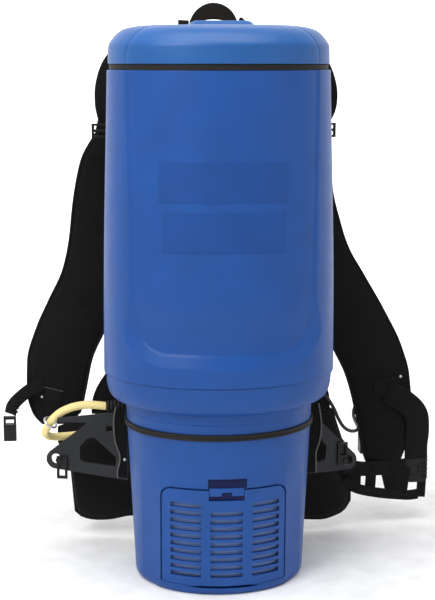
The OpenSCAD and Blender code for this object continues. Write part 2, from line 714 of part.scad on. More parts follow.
module sternum_buckle()
    color(black) translate([-235, 131, 10]) difference() {
        union() {
            translate([-7, -4.5, 106]) cube([14.5, 9, 20]);
            translate([-7, -3, 125]) cube([2.5, 6, 10]);
            translate([5, -3, 125]) cube([2.5, 6, 10]);
            along_x(-7, 0, 133, 2.2, 14.5);
        }
        translate([-4.6, -2.3, 104]) cube([9.7, 4.6, 18]);
    }

bag_housing();
lower_collar();
motor_housing();
base_cover();
retaining_band();
lid();
lid_gasket();
hose_inlet_collar();
inlet_seal();
left_lid_latch();
right_lid_latch();
latch_brackets();
latch_pins();
filter_bag();
bag_collar();
foam_prefilter();
prefilter_grid();
fan_case();
motor_frame();
motor_field();
motor_bearings();
motor_rotor();
impeller();
motor_gasket();
motor_foot();
carbon_brushes();
exhaust_filter();
exhaust_door();
door_latch_tab();
door_hinge_pin();
cord_strain_relief();
power_cord();
cord_plug();
plug_blades();
cord_retainer_strap();
cord_ring();
switch_cable();
cable_gland();
switch_pod();
switch_rocker();
back_plate();
plate_screws();
left_wing();
right_wing();
wing_screws();
back_pad();
hip_pad();
left_shoulder_pad();
right_shoulder_pad();
left_upper_webbing();
right_upper_webbing();
strap_adjusters();
side_straps();
carry_handle();
lower_webbing();
waist_buckle();
sternum_webbing();
sternum_buckle();
left_wing_loop();
right_wing_loop();
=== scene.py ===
"""Backpack vacuum cleaner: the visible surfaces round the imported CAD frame.

Lengths in this file are millimetres unless a name says otherwise. Meshes are scaled to metres
as they are made.
"""

import json
import math

import bmesh
import bpy
import numpy as np
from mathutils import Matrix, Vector
from mathutils.bvhtree import BVHTree


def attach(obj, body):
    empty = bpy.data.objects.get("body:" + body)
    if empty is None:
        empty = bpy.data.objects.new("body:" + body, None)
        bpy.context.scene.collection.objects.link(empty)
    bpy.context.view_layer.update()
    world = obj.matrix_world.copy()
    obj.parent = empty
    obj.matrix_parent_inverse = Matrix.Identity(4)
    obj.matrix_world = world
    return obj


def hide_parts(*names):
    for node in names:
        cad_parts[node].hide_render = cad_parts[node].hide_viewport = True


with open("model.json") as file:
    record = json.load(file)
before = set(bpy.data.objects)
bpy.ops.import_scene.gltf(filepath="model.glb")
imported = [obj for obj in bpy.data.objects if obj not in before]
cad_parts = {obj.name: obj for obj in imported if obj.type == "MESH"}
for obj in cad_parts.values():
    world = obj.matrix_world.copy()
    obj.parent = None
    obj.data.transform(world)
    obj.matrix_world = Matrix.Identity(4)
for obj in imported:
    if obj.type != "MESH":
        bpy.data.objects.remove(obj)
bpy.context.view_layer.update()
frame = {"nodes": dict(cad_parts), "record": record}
MM = 0.001


# ---------------------------------------------------------------- camera, floor and light
def aimed(obj, at):
    direction = Vector(at) - obj.location
    obj.rotation_euler = direction.to_track_quat("-Z", "Y").to_euler()


def make_camera():
    data = bpy.data.cameras.new("camera")
    data.lens, data.sensor_width, data.sensor_fit = 82.5, 36.0, "AUTO"
    cam = bpy.data.objects.new("camera", data)
    cam.location = (-0.11629, -1.44533, 0.551)
    cam.rotation_euler = (math.radians(90 - 9.74), 0, math.radians(-4.542))
    bpy.context.scene.collection.objects.link(cam)
    bpy.context.scene.camera = cam


def area_light(name, place, at, size, watts, colour=(1, 1, 1)):
    data = bpy.data.lights.new(name, "AREA")
    data.shape, data.size, data.size_y = "RECTANGLE", size[0], size[1]
    data.energy, data.color = watts, colour
    light = bpy.data.objects.new(name, data)
    light.location = place
    aimed(light, at)
    bpy.context.scene.collection.objects.link(light)


def coordinate(tree, kind, axis):
    """One axis of a texture coordinate."""
    xyz = tree.nodes.new("ShaderNodeSeparateXYZ")
    tree.links.new(tree.nodes.new("ShaderNodeTexCoord").outputs[kind], xyz.inputs[0])
    return xyz.outputs[axis]


def map_range(tree, source, *span):
    """Map Range node on a socket. span is From Min, From Max, To Min and To Max."""
    node = tree.nodes.new("ShaderNodeMapRange")
    tree.links.new(source, node.inputs["Value"])
    for socket, value in zip(("From Min", "From Max", "To Min", "To Max"), span):
        node.inputs[socket].default_value = value
    return node.outputs["Result"]


def make_world():
    """White round the horizon and dimmer overhead."""
    world = bpy.data.worlds.new("studio")
    world.use_nodes = True
    tree = world.node_tree
    background = tree.nodes["Background"]
    sky = map_range(tree, coordinate(tree, "Generated", "Z"), 0.2, 0.45, 0.9, 0.35)
    tree.links.new(sky, background.inputs["Strength"])
    background.inputs["Color"].default_value = (1, 1, 1, 1)
    bpy.context.scene.world = world


make_camera()
area_light("key", (-0.95, -1.05, 1.5), (0, 0, 0.5), (0.8, 0.9), 18)
area_light("top", (-0.05, -0.3, 1.8), (0, 0, 0.5), (1.6, 0.8), 19)
area_light("fill", (1.5, -1.2, 0.9), (0, 0, 0.4), (0.9, 1.2), 1.5)
make_world()
bpy.context.scene.view_settings.view_transform = "Standard"


# ---------------------------------------------------------------- materials
class Shader:
    """A Principled material and short calls for the nodes in front of it."""

    def __init__(self, name, rough, metal=0.0, **fixed):
        self.material = bpy.data.materials.new(name)
        self.material.use_nodes = True
        self.tree = self.material.node_tree
        self.bsdf = self.tree.nodes["Principled BSDF"]
        self.bsdf.inputs["Roughness"].default_value = rough
        self.bsdf.inputs["Metallic"].default_value = metal
        for socket, value in fixed.items():
            self.bsdf.inputs[socket.replace("_", " ")].default_value = value

    def node(self, kind, inputs=(), out=0, **settings):
        n = self.tree.nodes.new("ShaderNode" + kind)
        for key, value in settings.items():
            setattr(n, key, value)
        for key, value in dict(inputs).items():
            if isinstance(value, bpy.types.NodeSocket):
                self.tree.links.new(value, n.inputs[key])
            else:
                n.inputs[key].default_value = value
        return n.outputs[out]

    def place(self, uv=False, stretch=(1, 1, 1)):
        where = self.node("TexCoord", out=2 if uv else 3)
        return self.node("Mapping", {"Vector": where, "Scale": stretch})

    def noise(self, size, detail=2.0, stretch=(1, 1, 1), uv=False, rough=0.5):
        return self.node("TexNoise", {"Vector": self.place(uv, stretch), "Scale": 1 / size,
                                      "Detail": detail, "Roughness": rough})

    def math(self, what, a, b=0.0, c=0.0):
        return self.node("Math", {0: a, 1: b, 2: c}, operation=what)

    def ramp(self, fac, stops):
        n = self.tree.nodes.new("ShaderNodeValToRGB")
        self.tree.links.new(fac, n.inputs["Fac"])
        while len(n.color_ramp.elements) < len(stops):
            n.color_ramp.elements.new(0.5)
        for element, (at, colour) in zip(n.color_ramp.elements, stops):
            element.position, element.color = at, (*colour, 1)
        return n.outputs["Color"]

    def mixed(self, fac, a, b):
        n = self.tree.nodes.new("ShaderNodeMix")
        n.data_type = "RGBA"
        for key, value in ((0, fac), (6, a), (7, b)):
            if isinstance(value, bpy.types.NodeSocket):
                self.tree.links.new(value, n.inputs[key])
            else:
                n.inputs[key].default_value = value if key == 0 else (*value, 1)
        return n.outputs[2]

    def to(self, socket, value):
        self.tree.links.new(value, self.bsdf.inputs[socket])

    def bump(self, height, depth, strength=1.0, under=None):
        inputs = {"Height": height, "Distance": depth, "Strength": strength}
        if under is not None:
            inputs["Normal"] = under
        normal = self.node("Bump", inputs)
        self.to("Normal", normal)
        return normal


def plastic(name, colour, rough=0.4, grain=0.0006, depth=0.00004, wear=0.25, gloss=0.5):
    """Moulded plastic: fine spark grain, faint clouding of the pigment, paler rubbed edges."""
    s = Shader(name, rough, Specular_IOR_Level=gloss)
    c = np.array(colour)
    cloud = s.noise(0.035, 3)
    tone = s.ramp(cloud, [(0.3, c * 0.93), (0.7, np.minimum(c * 1.06, 1))])
    specks = s.ramp(s.noise(grain * 1.5, 1), [(0.35, (0, 0, 0)), (0.75, (1, 1, 1))])
    tone = s.mixed(s.math("MULTIPLY", specks, 0.06), tone, np.minimum(c * 1.8 + 0.02, 1))
    if wear:
        edge = s.ramp(s.node("NewGeometry", out=7), [(0.53, (0, 0, 0)), (0.62, (1, 1, 1))])
        rubbed = s.math("MULTIPLY", edge, s.math("MULTIPLY", s.noise(0.006, 3), wear))
        tone = s.mixed(rubbed, tone, np.minimum(c * 1.9 + 0.06, 1))
    s.to("Base Color", tone)
    s.to("Roughness", s.node("MapRange", {"Value": s.noise(0.012, 4), "To Min": rough - 0.05,
                                          "To Max": rough + 0.07}))
    s.bump(s.noise(grain, 2), depth, 0.6)
    return s.material


def metal(name, colour, rough=0.28, stretch=(1, 1, 12), size=0.003):
    """Metal with turned or brushed lines and a few dull spots."""
    s = Shader(name, rough, 1.0)
    c = np.array(colour)
    lines = s.noise(size, 4, stretch)
    s.to("Base Color", s.ramp(lines, [(0.3, c * 0.82), (0.7, np.minimum(c * 1.1, 1))]))
    s.to("Roughness", s.node("MapRange", {"Value": s.noise(0.004, 3), "To Min": rough - 0.08,
                                          "To Max": rough + 0.15}))
    s.bump(lines, 0.00002, 0.5)
    return s.material


def woven(name, colour, pitch=0.0016, uv=True, axes=(0, 1), depth=0.00018, rough=0.8, sheen=0.06,
          thread=0.35):
    """Cloth: warp and weft cross every pitch, and the yarns differ a little in shade."""
    s = Shader(name, rough, **{"Sheen_Weight": sheen, "Sheen_Roughness": 0.5,
                               "Specular_IOR_Level": 0.12})
    c = np.array(colour)
    xyz = s.tree.nodes.new("ShaderNodeSeparateXYZ")
    s.tree.links.new(s.place(uv), xyz.inputs[0])
    k = 2 * math.pi / pitch
    u = s.math("MULTIPLY", xyz.outputs[axes[0]], k)
    v = s.math("MULTIPLY", xyz.outputs[axes[1]], k)
    cell = s.math("MULTIPLY", s.math("SINE", u), s.math("SINE", v))
    fine = s.math("MULTIPLY", s.math("SINE", s.math("MULTIPLY", s.math("ADD", u, v), 3.0)), 0.2)
    height = s.math("ADD", s.math("MULTIPLY_ADD", cell, 0.5, 0.5), fine)
    fuzz = s.noise(0.0007, 3)
    shade = s.math("MULTIPLY_ADD", height, thread, s.math("MULTIPLY", fuzz, 0.4))
    worn = s.noise(0.05, 4)
    tone = s.ramp(shade, [(0.1, c * 0.55), (0.8, np.minimum(c * 1.5, 1))])
    s.to("Base Color", s.mixed(s.math("MULTIPLY", worn, 0.35), tone, np.minimum(c * 1.7 + 0.004, 1)))
    lint = s.bump(fuzz, depth * 0.5, 0.4)
    s.bump(height, depth, 0.8, lint)
    return s.material


def fibrous(name, colour, size=0.0012, depth=0.0003, rough=0.9, stretch=(1, 1, 1)):
    """Paper, card, foam, carbon and filter fleece: crossed fibres or cells of one size."""
    s = Shader(name, rough)
    c = np.array(colour)
    fibre = s.noise(size, 5, stretch, rough=0.7)
    cells = s.node("TexVoronoi", {"Vector": s.place(False, stretch), "Scale": 0.6 / size})
    height = s.math("ADD", fibre, s.math("MULTIPLY", cells, 0.5))
    tone = s.ramp(fibre, [(0.3, c * 0.75), (0.7, np.minimum(c * 1.12, 1))])
    stain = s.noise(0.03, 3)
    s.to("Base Color", s.mixed(s.math("MULTIPLY", stain, 0.25), tone, c * 0.8))
    s.bump(height, depth, 0.7)
    return s.material


BLUE = (0.0045, 0.060, 0.265)
MATS = {
    "blue": plastic("blue_moulding", BLUE, 0.42, wear=0.3, gloss=0.32),
    # The lid's blue is lighter than BLUE: painted light from overhead on the same plastic.
    "lid": plastic("blue_lid_painted_lighter", (0.007, 0.082, 0.285), 0.42, wear=0.3, gloss=0.4),
    # Near-black blue: painted shade for the latch recess above the exhaust door.
    "painted_shade": plastic("recess_painted_shade", (0.006, 0.010, 0.06), 0.5, wear=0, gloss=0.15),
    "label": plastic("blue_label", (0.0038, 0.052, 0.235), 0.42, 0.0004, wear=0, gloss=0.3),
    "black": plastic("black_moulding", (0.005, 0.005, 0.0055), 0.42, wear=0.2, gloss=0.25),
    "slate": plastic("slate_moulding", (0.019, 0.0205, 0.024), 0.5, wear=0.2, gloss=0.25),
    "rubber": plastic("black_rubber", (0.009, 0.008, 0.007), 0.6, 0.0009, 0.00005, wear=0.12, gloss=0.25),
    "yellow": plastic("yellow_sheath", (0.85, 0.69, 0.29), 0.42, 0.0008, 0.00005, wear=0.1, gloss=0.3),
    "cable": plastic("black_sheath", (0.006, 0.006, 0.007), 0.4, 0.0008, 0.00004, wear=0.1, gloss=0.3),
    "red": plastic("red_rocker_face", (0.42, 0.016, 0.012), 0.35, wear=0.3),
    "steel": metal("brushed_steel", (0.62, 0.62, 0.61)),
    "aluminium": metal("cast_aluminium", (0.66, 0.67, 0.68), 0.4, (1, 1, 1), 0.002),
    "brass": metal("plated_brass", (0.78, 0.60, 0.30), 0.25),
    "copper": metal("enamelled_copper", (0.66, 0.26, 0.10), 0.32, (1, 1, 40), 0.004),
    "carbon": fibrous("pressed_carbon", (0.02, 0.02, 0.021), 0.0008, 0.0001, 0.6),
    "paper": fibrous("filter_paper", (0.78, 0.70, 0.52), 0.0015, 0.0002, 0.85),
    "card": fibrous("collar_card", (0.50, 0.37, 0.21), 0.002, 0.0001, 0.8, (1, 6, 1)),
    "foam": fibrous("open_foam", (0.035, 0.035, 0.038), 0.0018, 0.0008, 0.95),
    "fleece": fibrous("filter_fleece", (0.62, 0.64, 0.68), 0.0014, 0.0003, 0.9),
    "webbing": woven("black_web", (0.0045, 0.0045, 0.0045), 0.0020),
    "brown": woven("brown_web", (0.011, 0.008, 0.0065), 0.0022, thread=0.5),
    "fabric": woven("pad_cloth", (0.0042, 0.0039, 0.0036), 0.0018, uv=False, axes=(0, 2), sheen=0.05),
    "binding": woven("binding_tape", (0.006, 0.006, 0.006), 0.0014, uv=False, axes=(0, 2)),
    # Pale grey: painted highlight, used for the stitches along the left patch's top edge and the strips on
    # the side straps' edges.
    "thread": woven("pale_thread_painted_highlight", (0.13, 0.12, 0.11), 0.0008, uv=False, axes=(0, 2)),
    "dark_thread": woven("black_thread", (0.007, 0.0066, 0.006), 0.0008, uv=False, axes=(0, 2)),
    "screen": woven("wire_screen", (0.13, 0.195, 0.38), 0.0016, uv=False, axes=(0, 2), rough=0.5,
                    sheen=0.0, thread=0.9),
    "floor": plastic("pale_floor", (0.9, 0.9, 0.9), 0.8, 0.002, 0.00005, wear=0, gloss=0.1),
}


# ---------------------------------------------------------------- mesh helpers
def link(name, mesh, material, body="housing", replaces=(), slot=None):
    obj = bpy.data.objects.new(name, mesh)
    bpy.context.scene.collection.objects.link(obj)
    if material:
        mesh.materials.append(MATS[material])
    if body:
        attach(obj, body)
    if replaces:
        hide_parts(*replaces)
    return obj


class Build:
    """Vertices (mm), faces and UVs (mm) collected into one mesh."""

    def __init__(self):
        self.verts, self.faces, self.uvs = [], [], []

    def add(self, verts, faces, uvs=None):
        base = len(self.verts)
        self.verts += [tuple(p) for p in verts]
        self.faces += [tuple(i + base for i in f) for f in faces]
        self.uvs += [tuple(p) for p in uvs] if uvs is not None else [(0, 0)] * len(verts)
        return self

    def mesh(self, name, smooth=True):
        mesh = bpy.data.meshes.new(name)
        mesh.from_pydata((np.array(self.verts) * MM).tolist(), [], self.faces)
        layer = mesh.uv_layers.new(name="UVMap")
        loops = np.zeros(len(mesh.loops), np.int32)
        mesh.loops.foreach_get("vertex_index", loops)
        layer.data.foreach_set("uv", (np.array(self.uvs) * MM)[loops].ravel())
        if smooth:
            mesh.shade_smooth()
        return mesh

    def piece(self, name, material, smooth=True, **how):
        return link(name, self.mesh(name, smooth), material, **how)


def modifier(obj, kind, **settings):
    m = obj.modifiers.new(kind.lower(), kind)
    for key, value in settings.items():
        setattr(m, key, value)
    return m


def softened(obj, width=0.5, angle=35, segments=2):
    """Small rounds on the sharp edges, as a moulding has."""
    modifier(obj, "BEVEL", width=width * MM, segments=segments, limit_method="ANGLE",
             angle_limit=math.radians(angle), harden_normals=True)
    modifier(obj, "WEIGHTED_NORMAL", keep_sharp=True)
    return obj


def applied(obj):
    """The object's own mesh becomes what its modifiers make of it."""
    graph = bpy.context.evaluated_depsgraph_get()
    mesh = bpy.data.meshes.new_from_object(obj.evaluated_get(graph), depsgraph=graph)
    obj.modifiers.clear()
    obj.data = mesh
    return obj


def cut(obj, *cutters):
    """Takes the cutters' shapes away from obj."""
    for cutter in cutters:
        modifier(obj, "BOOLEAN", object=cutter, operation="DIFFERENCE", solver="EXACT")
    applied(obj)
    for cutter in cutters:
        bpy.data.objects.remove(cutter)
    return obj


def grid_faces(rows, cols, closed=True):
    faces = []
    for i in range(rows - 1):
        for j in range(cols if closed else cols - 1):
            a, b = i * cols + j, i * cols + (j + 1) % cols
            faces.append((a, b, b + cols, a + cols))
    return faces


def smooth(route, steps):
    """The same curve through a route's points as the CAD cords and straps follow."""
    p = np.array(route, float)
    n = len(p)
    out = []
    for i in range(n - 1):
        a, b, c, d = p[max(i - 1, 0)], p[i], p[i + 1], p[min(i + 2, n - 1)]
        for t in np.arange(steps) / steps:
            out.append(0.5 * (2 * b + (c - a) * t + (2 * a - 5 * b + 4 * c - d) * t * t
                              + (3 * b - a - 3 * c + d) * t ** 3))
    return np.array(out + [p[-1]])


def unit(v):
    return v / np.linalg.norm(v)


def headings(p):
    d = np.gradient(p, axis=0)
    return d / np.linalg.norm(d, axis=1)[:, None]


def capped(rows, cols):
    """Faces of a tube of rings with a face over each end."""
    return grid_faces(rows, cols) + [tuple(range(cols - 1, -1, -1)),
                                     tuple((rows - 1) * cols + i for i in range(cols))]


def border(rows, cols):
    """Indices once round the edge of a grid of points."""
    return (list(range(cols)) + [i * cols + cols - 1 for i in range(1, rows)]
            + [(rows - 1) * cols + j for j in range(cols - 2, -1, -1)]
            + [i * cols for i in range(rows - 2, 0, -1)])


def from_rings(rows):
    """Closed Build through rings of points."""
    return Build().add(np.concatenate(rows), capped(len(rows), len(rows[0])))


def run_of(p):
    """Distance along a line of points at each point."""
    return np.concatenate([[0], np.cumsum(np.linalg.norm(np.diff(p, axis=0), axis=1))])


def web_section(up):
    """Section of a woven strap, (place across, height), with its raised selvedges."""
    across = (-1, -0.97, -0.88, -0.5, 0, 0.5, 0.88, 0.97, 1)
    height = (0.25, 0.8, 1, 0.86, 0.82, 0.86, 1, 0.8, 0.25)
    return ([(s, up * h) for s, h in zip(across, height)]
            + [(s, -up * h) for s, h in zip(across[::-1], height)])


def ribbon(build, route, width, thick=2.4, face=(0, 1, 0), steps=6):
    """Woven strap of one width along a route."""
    p = smooth(route, steps)
    face = unit(np.array(face, float))
    section = web_section(-1)
    rows, uvs = [], []
    for q, t, v in zip(p, headings(p), run_of(p)):
        side = unit(np.cross(t, face)) * width / 2
        rows += [q + side * s + face * h * thick / 2 for s, h in section]
        uvs += [(s * width / 2, v) for s, h in section]
    build.add(rows, capped(len(p), len(section)), uvs)


def stitches(build, path, out, gap=3.6, length=2.5, radius=0.32, lift=0.1):
    """A run of thread stitches along a path, standing on a surface that faces out."""
    p = np.array(path, float)
    out = unit(np.array(out, float))
    far = run_of(p)
    for at in np.arange(gap / 2, far[-1], gap):
        c = np.array([np.interp(at, far, p[:, k]) for k in range(3)])
        d = np.array([np.interp(at + 0.5, far, p[:, k]) for k in range(3)]) - c
        if np.linalg.norm(d) < 1e-6:
            continue
        d = unit(d)
        side = unit(np.cross(d, out))
        ring = []
        for along, r in ((-0.5, 0.35), (-0.3, 1), (0.3, 1), (0.5, 0.35)):
            for a in range(6):
                ang = a * math.pi / 3
                ring.append(c + d * along * length + out * (lift + radius * r * math.sin(ang))
                            + side * radius * r * math.cos(ang))
        build.add(ring, capped(4, 6))


def lathe(build, profile, centre, axis, n=48, squeeze=None):
    """Turned shape: profile is [distance along the axis, radius]."""
    axis = unit(np.array(axis, float))
    u = unit(np.cross(axis, (0.31, 0.52, 0.79)))
    v = np.cross(axis, u)
    rows = []
    for h, r in profile:
        for j in range(n):
            a = 2 * math.pi * j / n
            k = squeeze(h, a) if squeeze else 1
            rows.append(np.array(centre) + axis * h + (u * math.cos(a) + v * math.sin(a)) * r * k)
    build.add(rows, capped(len(profile), n))


def block(build, lo, hi, r=0.8):
    """Small moulded block with rounded edges."""
    bm = bmesh.new()
    bmesh.ops.create_cube(bm, size=1)
    size, mid = np.array(hi, float) - lo, (np.array(hi, float) + lo) / 2
    for v in bm.verts:
        v.co = Vector(np.array(v.co) * size + mid)
    bmesh.ops.bevel(bm, geom=bm.edges[:] + bm.verts[:], offset=r, segments=2, affect="EDGES", profile=0.5)
    bm.verts.index_update()
    build.add([tuple(v.co) for v in bm.verts], [tuple(v.index for v in f.verts) for f in bm.faces])
    bm.free()


# ---------------------------------------------------------------- outlines shared with the CAD
BAG_W, BAG_F, BAG_R = 123.4, 100, 75


def plan(a):
    """Plan outline of half-width and depth 1 at angles a: an ellipse in front, a squarer curve behind."""
    c, s = np.cos(a), np.sin(a)
    power = np.where(s < 0, 1.0, 0.5)
    return np.sign(c) * np.abs(c) ** power, np.sign(s) * np.abs(s) ** power


def unit_outline(n, w=BAG_W, f=BAG_F, r=BAG_R):
    """Points of the plan outline that are evenly spaced once it is w, f and r large."""
    u, v = plan(np.linspace(0, 2 * math.pi, 6001))
    depth = np.where(v < 0, f, r)
    far = np.concatenate([[0], np.cumsum(np.hypot(np.diff(u * w), np.diff(v * depth)))])
    at = np.linspace(0, far[-1], n, endpoint=False)
    return np.interp(at, far, u), np.interp(at, far, v)


def ring_of(u, v, w, f, r, z):
    return np.stack([u * w, v * np.where(v < 0, f, r), np.full(len(u), float(z))], 1)


def eased(table, x):
    """Smooth curve through a table of [x, y] with no overshoot."""
    t = np.array(table, float)
    slopes = np.gradient(t[:, 1], t[:, 0])
    d = np.diff(t[:, 1]) / np.diff(t[:, 0])
    for i in range(1, len(t) - 1):
        slopes[i] = 0 if d[i - 1] * d[i] <= 0 else 2 * d[i - 1] * d[i] / (d[i - 1] + d[i])
    i = int(np.clip(np.searchsorted(t[:, 0], x) - 1, 0, len(t) - 2))
    h = t[i + 1, 0] - t[i, 0]
    s = (x - t[i, 0]) / h
    return ((2 * s ** 3 - 3 * s ** 2 + 1) * t[i, 1] + (s ** 3 - 2 * s ** 2 + s) * h * slopes[i]
            + (3 * s ** 2 - 2 * s ** 3) * t[i + 1, 1] + (s ** 3 - s ** 2) * h * slopes[i + 1])


def eased_row(table, x):
    """The three columns of a table of [x, a, b, c] at x, each as a smooth curve."""
    t = np.array(table, float)
    return [eased(t[:, [0, k]], x) for k in (1, 2, 3)]


def bag_size(z):
    k = eased([[0, 0], [0.25, 0.1], [1, 1]], (z - 227) / 318)
    return BAG_W - 7 * k, BAG_F - 3 * k, BAG_R - 2 * k


def motor_size(z, inset=0.0):
    m = 9 * (1 - z / 186)
    return 100 - m - inset, 84 - 0.6 * m - inset, 70 - 0.6 * m - inset


def front_of(size):
    """Depth of the front face at x, for a section that size(z) gives."""
    def depth(x, z, inset=0.0):
        w, f, _ = size(z)
        return -(f - inset) * math.sqrt(max(1e-4, 1 - (x / (w - inset)) ** 2))
    return depth


bag_front, motor_front = front_of(bag_size), front_of(motor_size)


def step01(x):
    x = np.clip(x, 0, 1)
    return x * x * (3 - 2 * x)


def past_corner(qx, qz):
    """Distance from the middle of a round corner, or how far past its straight edges."""
    return np.where((qx > 0) & (qz > 0), np.hypot(np.maximum(qx, 0), np.maximum(qz, 0)), np.maximum(qx, qz))


# ---------------------------------------------------------------- cords
def cord_curve(name, route, radius, material, steps=10):
    data = bpy.data.curves.new(name, "CURVE")
    data.dimensions, data.use_fill_caps = "3D", True
    data.bevel_depth, data.bevel_resolution = radius * MM, 5
    p = smooth(route, steps) * MM
    spline = data.splines.new("POLY")
    spline.points.add(len(p) - 1)
    spline.points.foreach_set("co", np.c_[p, np.ones(len(p))].ravel())
    spline.use_smooth = True
    data.materials.append(MATS[material])
    obj = bpy.data.objects.new(name, data)
    bpy.context.scene.collection.objects.link(obj)
    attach(obj, "housing")
    return obj


CORD_ROUTE = [[-90, 44, 177], [-106, 44, 177], [-122, 44, 177], [-134, 45, 178], [-146, 46, 178],
              [-160, 46, 175.5], [-173, 46.5, 169.5], [-182.5, 48, 160.5], [-188.5, 53, 150.5],
              [-190.5, 61.5, 142.5], [-188, 71, 137], [-182.5, 80.5, 133], [-173, 88.5, 131],
              [-159, 92.5, 131], [-143, 94, 132.3], [-128, 94.5, 131], [-113, 95, 125.5],
              [-101, 95, 117.5], [-91, 95, 107], [-85, 94.5, 91], [-80, 94, 74], [-74, 93.5, 57],
              [-65, 93, 41], [-54, 92.5, 26.5], [-39, 92, 13], [-21, 91, 6.2], [-2, 90, 5.2],
              [14, 90, 8.2], [27, 90, 12.8], [38, 90, 15]]
CABLE_ROUTE = [[88, 50, 192.5], [99, 50, 192.5], [110, 51, 191], [120, 52.5, 186],
               [129, 55.5, 176.5], [136, 59.5, 165], [142, 63, 152], [149, 68, 141], [157, 75, 134.5],
               [164.5, 83.5, 131.5], [170, 94, 130.5], [172.5, 106, 130.5], [173, 118, 131],
               [173, 130, 132.5], [173.5, 142, 136], [176.5, 152, 141.5], [182.5, 158, 145.5],
               [189.5, 159.2, 143.5], [194, 158.9, 136.5], [195.5, 158.6, 128], [195.5, 158.6, 120]]


def grip(h, a):
    """Finger flats and ridges round the plug's body."""
    return 1 - (0.07 * max(0, math.cos(2 * a)) + 0.02 * math.cos(12 * a)) * step01((h - 26) / 4)


def make_cords():
    lead = cord_curve("power_lead", CORD_ROUTE, 4.5, "yellow")
    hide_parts("power_cord")
    plug = Build()
    lathe(plug, [[0, 5.4], [0.6, 6.4], [4, 6.6], [4.6, 5.6], [6, 5.6], [6.6, 7], [10, 7.2], [10.6, 6.2],
                 [12, 6.2], [12.6, 7.6], [17, 8], [20, 10], [24, 13.8], [27, 14.9], [37, 15], [39.2, 14.6],
                 [40, 13.4]], (38, 90, 15), (1, 0, 0), 64, grip)
    plug = plug.piece("mains_plug", "rubber", replaces=["cord_plug"], slot="black_rubber")
    cable = cord_curve("switch_lead", CABLE_ROUTE, 2, "cable")
    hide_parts("switch_cable")
    relief = Build()
    profile = [[0, 6.2], [7.6, 6.2], [8, 8], [11.6, 8], [12, 7.6]]
    for k in range(6):
        r = 7.5 - 0.3 * k
        profile += [[h + 4 * k, r - dip] for h, dip in ((12.6, 0), (14.8, 0.1), (15.2, 1.2), (16.2, 1.25))]
    lathe(relief, profile + [[36, 5.7]], (-86, 44, 177), (-1, 0, 0), 40)
    relief.piece("lead_strain_relief", "rubber", replaces=["cord_strain_relief"], slot="black_rubber")


make_cords()


# ---------------------------------------------------------------- moulded shells
PANEL_X, PANEL_BOTTOM, PANEL_R, PANEL_SINK = 92, 260, 30, 1.7


def panel_depth(x, z):
    """Depth of the front panel below the face, with a wide bevel at its foot and narrow ones beside it."""
    half = PANEL_X + 4 * step01((z - 300) / 250)
    qx, qz = abs(x) - half + PANEL_R, PANEL_BOTTOM + PANEL_R - z
    away = past_corner(qx, qz) - PANEL_R
    foot = step01((qz + 26) / 46)
    bevel = 2.2 + 2.4 * step01((480 - z) / 200) + 8 * foot
    crease = 1.3 * foot * step01(-away / 1.6)
    return (PANEL_SINK + 2.6 * foot) * np.clip(1 - away / bevel, 0, 1) + crease


def shell(name, material, levels, size, n, wall, bevel=None, **how):
    """Thin-walled moulding; size(z) gives its half-width, front depth and rear depth at each level."""
    u, v = unit_outline(n)
    rows = []
    for z in levels:
        ring = ring_of(u, v, *size(z), z)
        if bevel is not None:
            inward = bevel(ring[:, 0], ring[:, 2]) * (ring[:, 1] < -5)
            length = np.hypot(ring[:, 0] / 1.5, ring[:, 1])
            ring[:, 0] -= inward * ring[:, 0] / 1.5 / length
            ring[:, 1] -= inward * ring[:, 1] / length
        rows.append(ring)
    b = Build().add(np.concatenate(rows), grid_faces(len(levels), n))
    obj = b.piece(name, material, **how)
    modifier(obj, "SOLIDIFY", thickness=wall * MM, offset=-1, use_even_offset=True)
    return obj


def make_bag_housing():
    levels = np.concatenate([[227.35, 227.8], np.arange(229, 544, 1.4), [544.2, 544.7, 545]])

    def size(z):
        w, f, r = bag_size(z)
        soft = 0.5 * max(0, 1 - (z - 227.35) / 0.6) + 0.5 * max(0, 1 - (545 - z) / 0.8)
        return w - soft, f - soft, r - soft
    obj = shell("bag_housing_shell", "blue", levels, size, 560, 3, bevel=panel_depth,
                replaces=["bag_housing"], slot="blue_plastic")
    applied(obj)
    bosses = Build()
    for x, z in ((-40, 500), (40, 500), (-40, 270), (40, 270)):
        lathe(bosses, [[0, 8], [6.6, 8], [7, 7.6], [7, 2.6], [0.5, 2.6]], (x, 71, z), (0, 1, 0), 32)
    joined(obj, bosses)


def joined(obj, build):
    """Adds a Build's shapes to a finished mesh object."""
    extra = build.mesh("extra")
    bm = bmesh.new()
    bm.from_mesh(obj.data)
    bm.from_mesh(extra)
    bm.to_mesh(obj.data)
    bm.free()
    bpy.data.meshes.remove(extra)
    return obj


def make_collar():
    steps = [[0, 2], [12, 3], [20, 5], [25, 8], [28, 12], [30, 17.5], [31.5, 23.4]]

    def size(z):
        drawn = eased(steps, 227 - z) if z > 195.5 else 23.4
        return BAG_W - drawn, BAG_F - 0.65 * drawn, BAG_R - 0.21 * drawn
    levels = np.concatenate([[186, 186.4, 188, 191, 194, 195.2], np.linspace(195.5, 200, 26),
                             np.linspace(200.6, 226, 32), [226.5, 226.8]])
    obj = applied(shell("collar_shell", "blue", levels, size, 360, 3, replaces=["lower_collar"],
                        slot="blue_plastic"))
    u, v = unit_outline(160)
    rim = ring_of(u, v, *size(206.5), 0) * [0.975, 0.975, 1]
    a = np.arctan2(rim[:, 1] + 4, rim[:, 0])
    hole = np.stack([40 * np.cos(a), 40 * np.sin(a) - 4, np.zeros(160)], 1)
    rows = [q + [0, 0, z] for q, z in ((hole, 204), (rim, 204), (rim, 209), (hole, 209), (hole, 204))]
    joined(obj, Build().add(np.concatenate(rows), grid_faces(5, 160)))


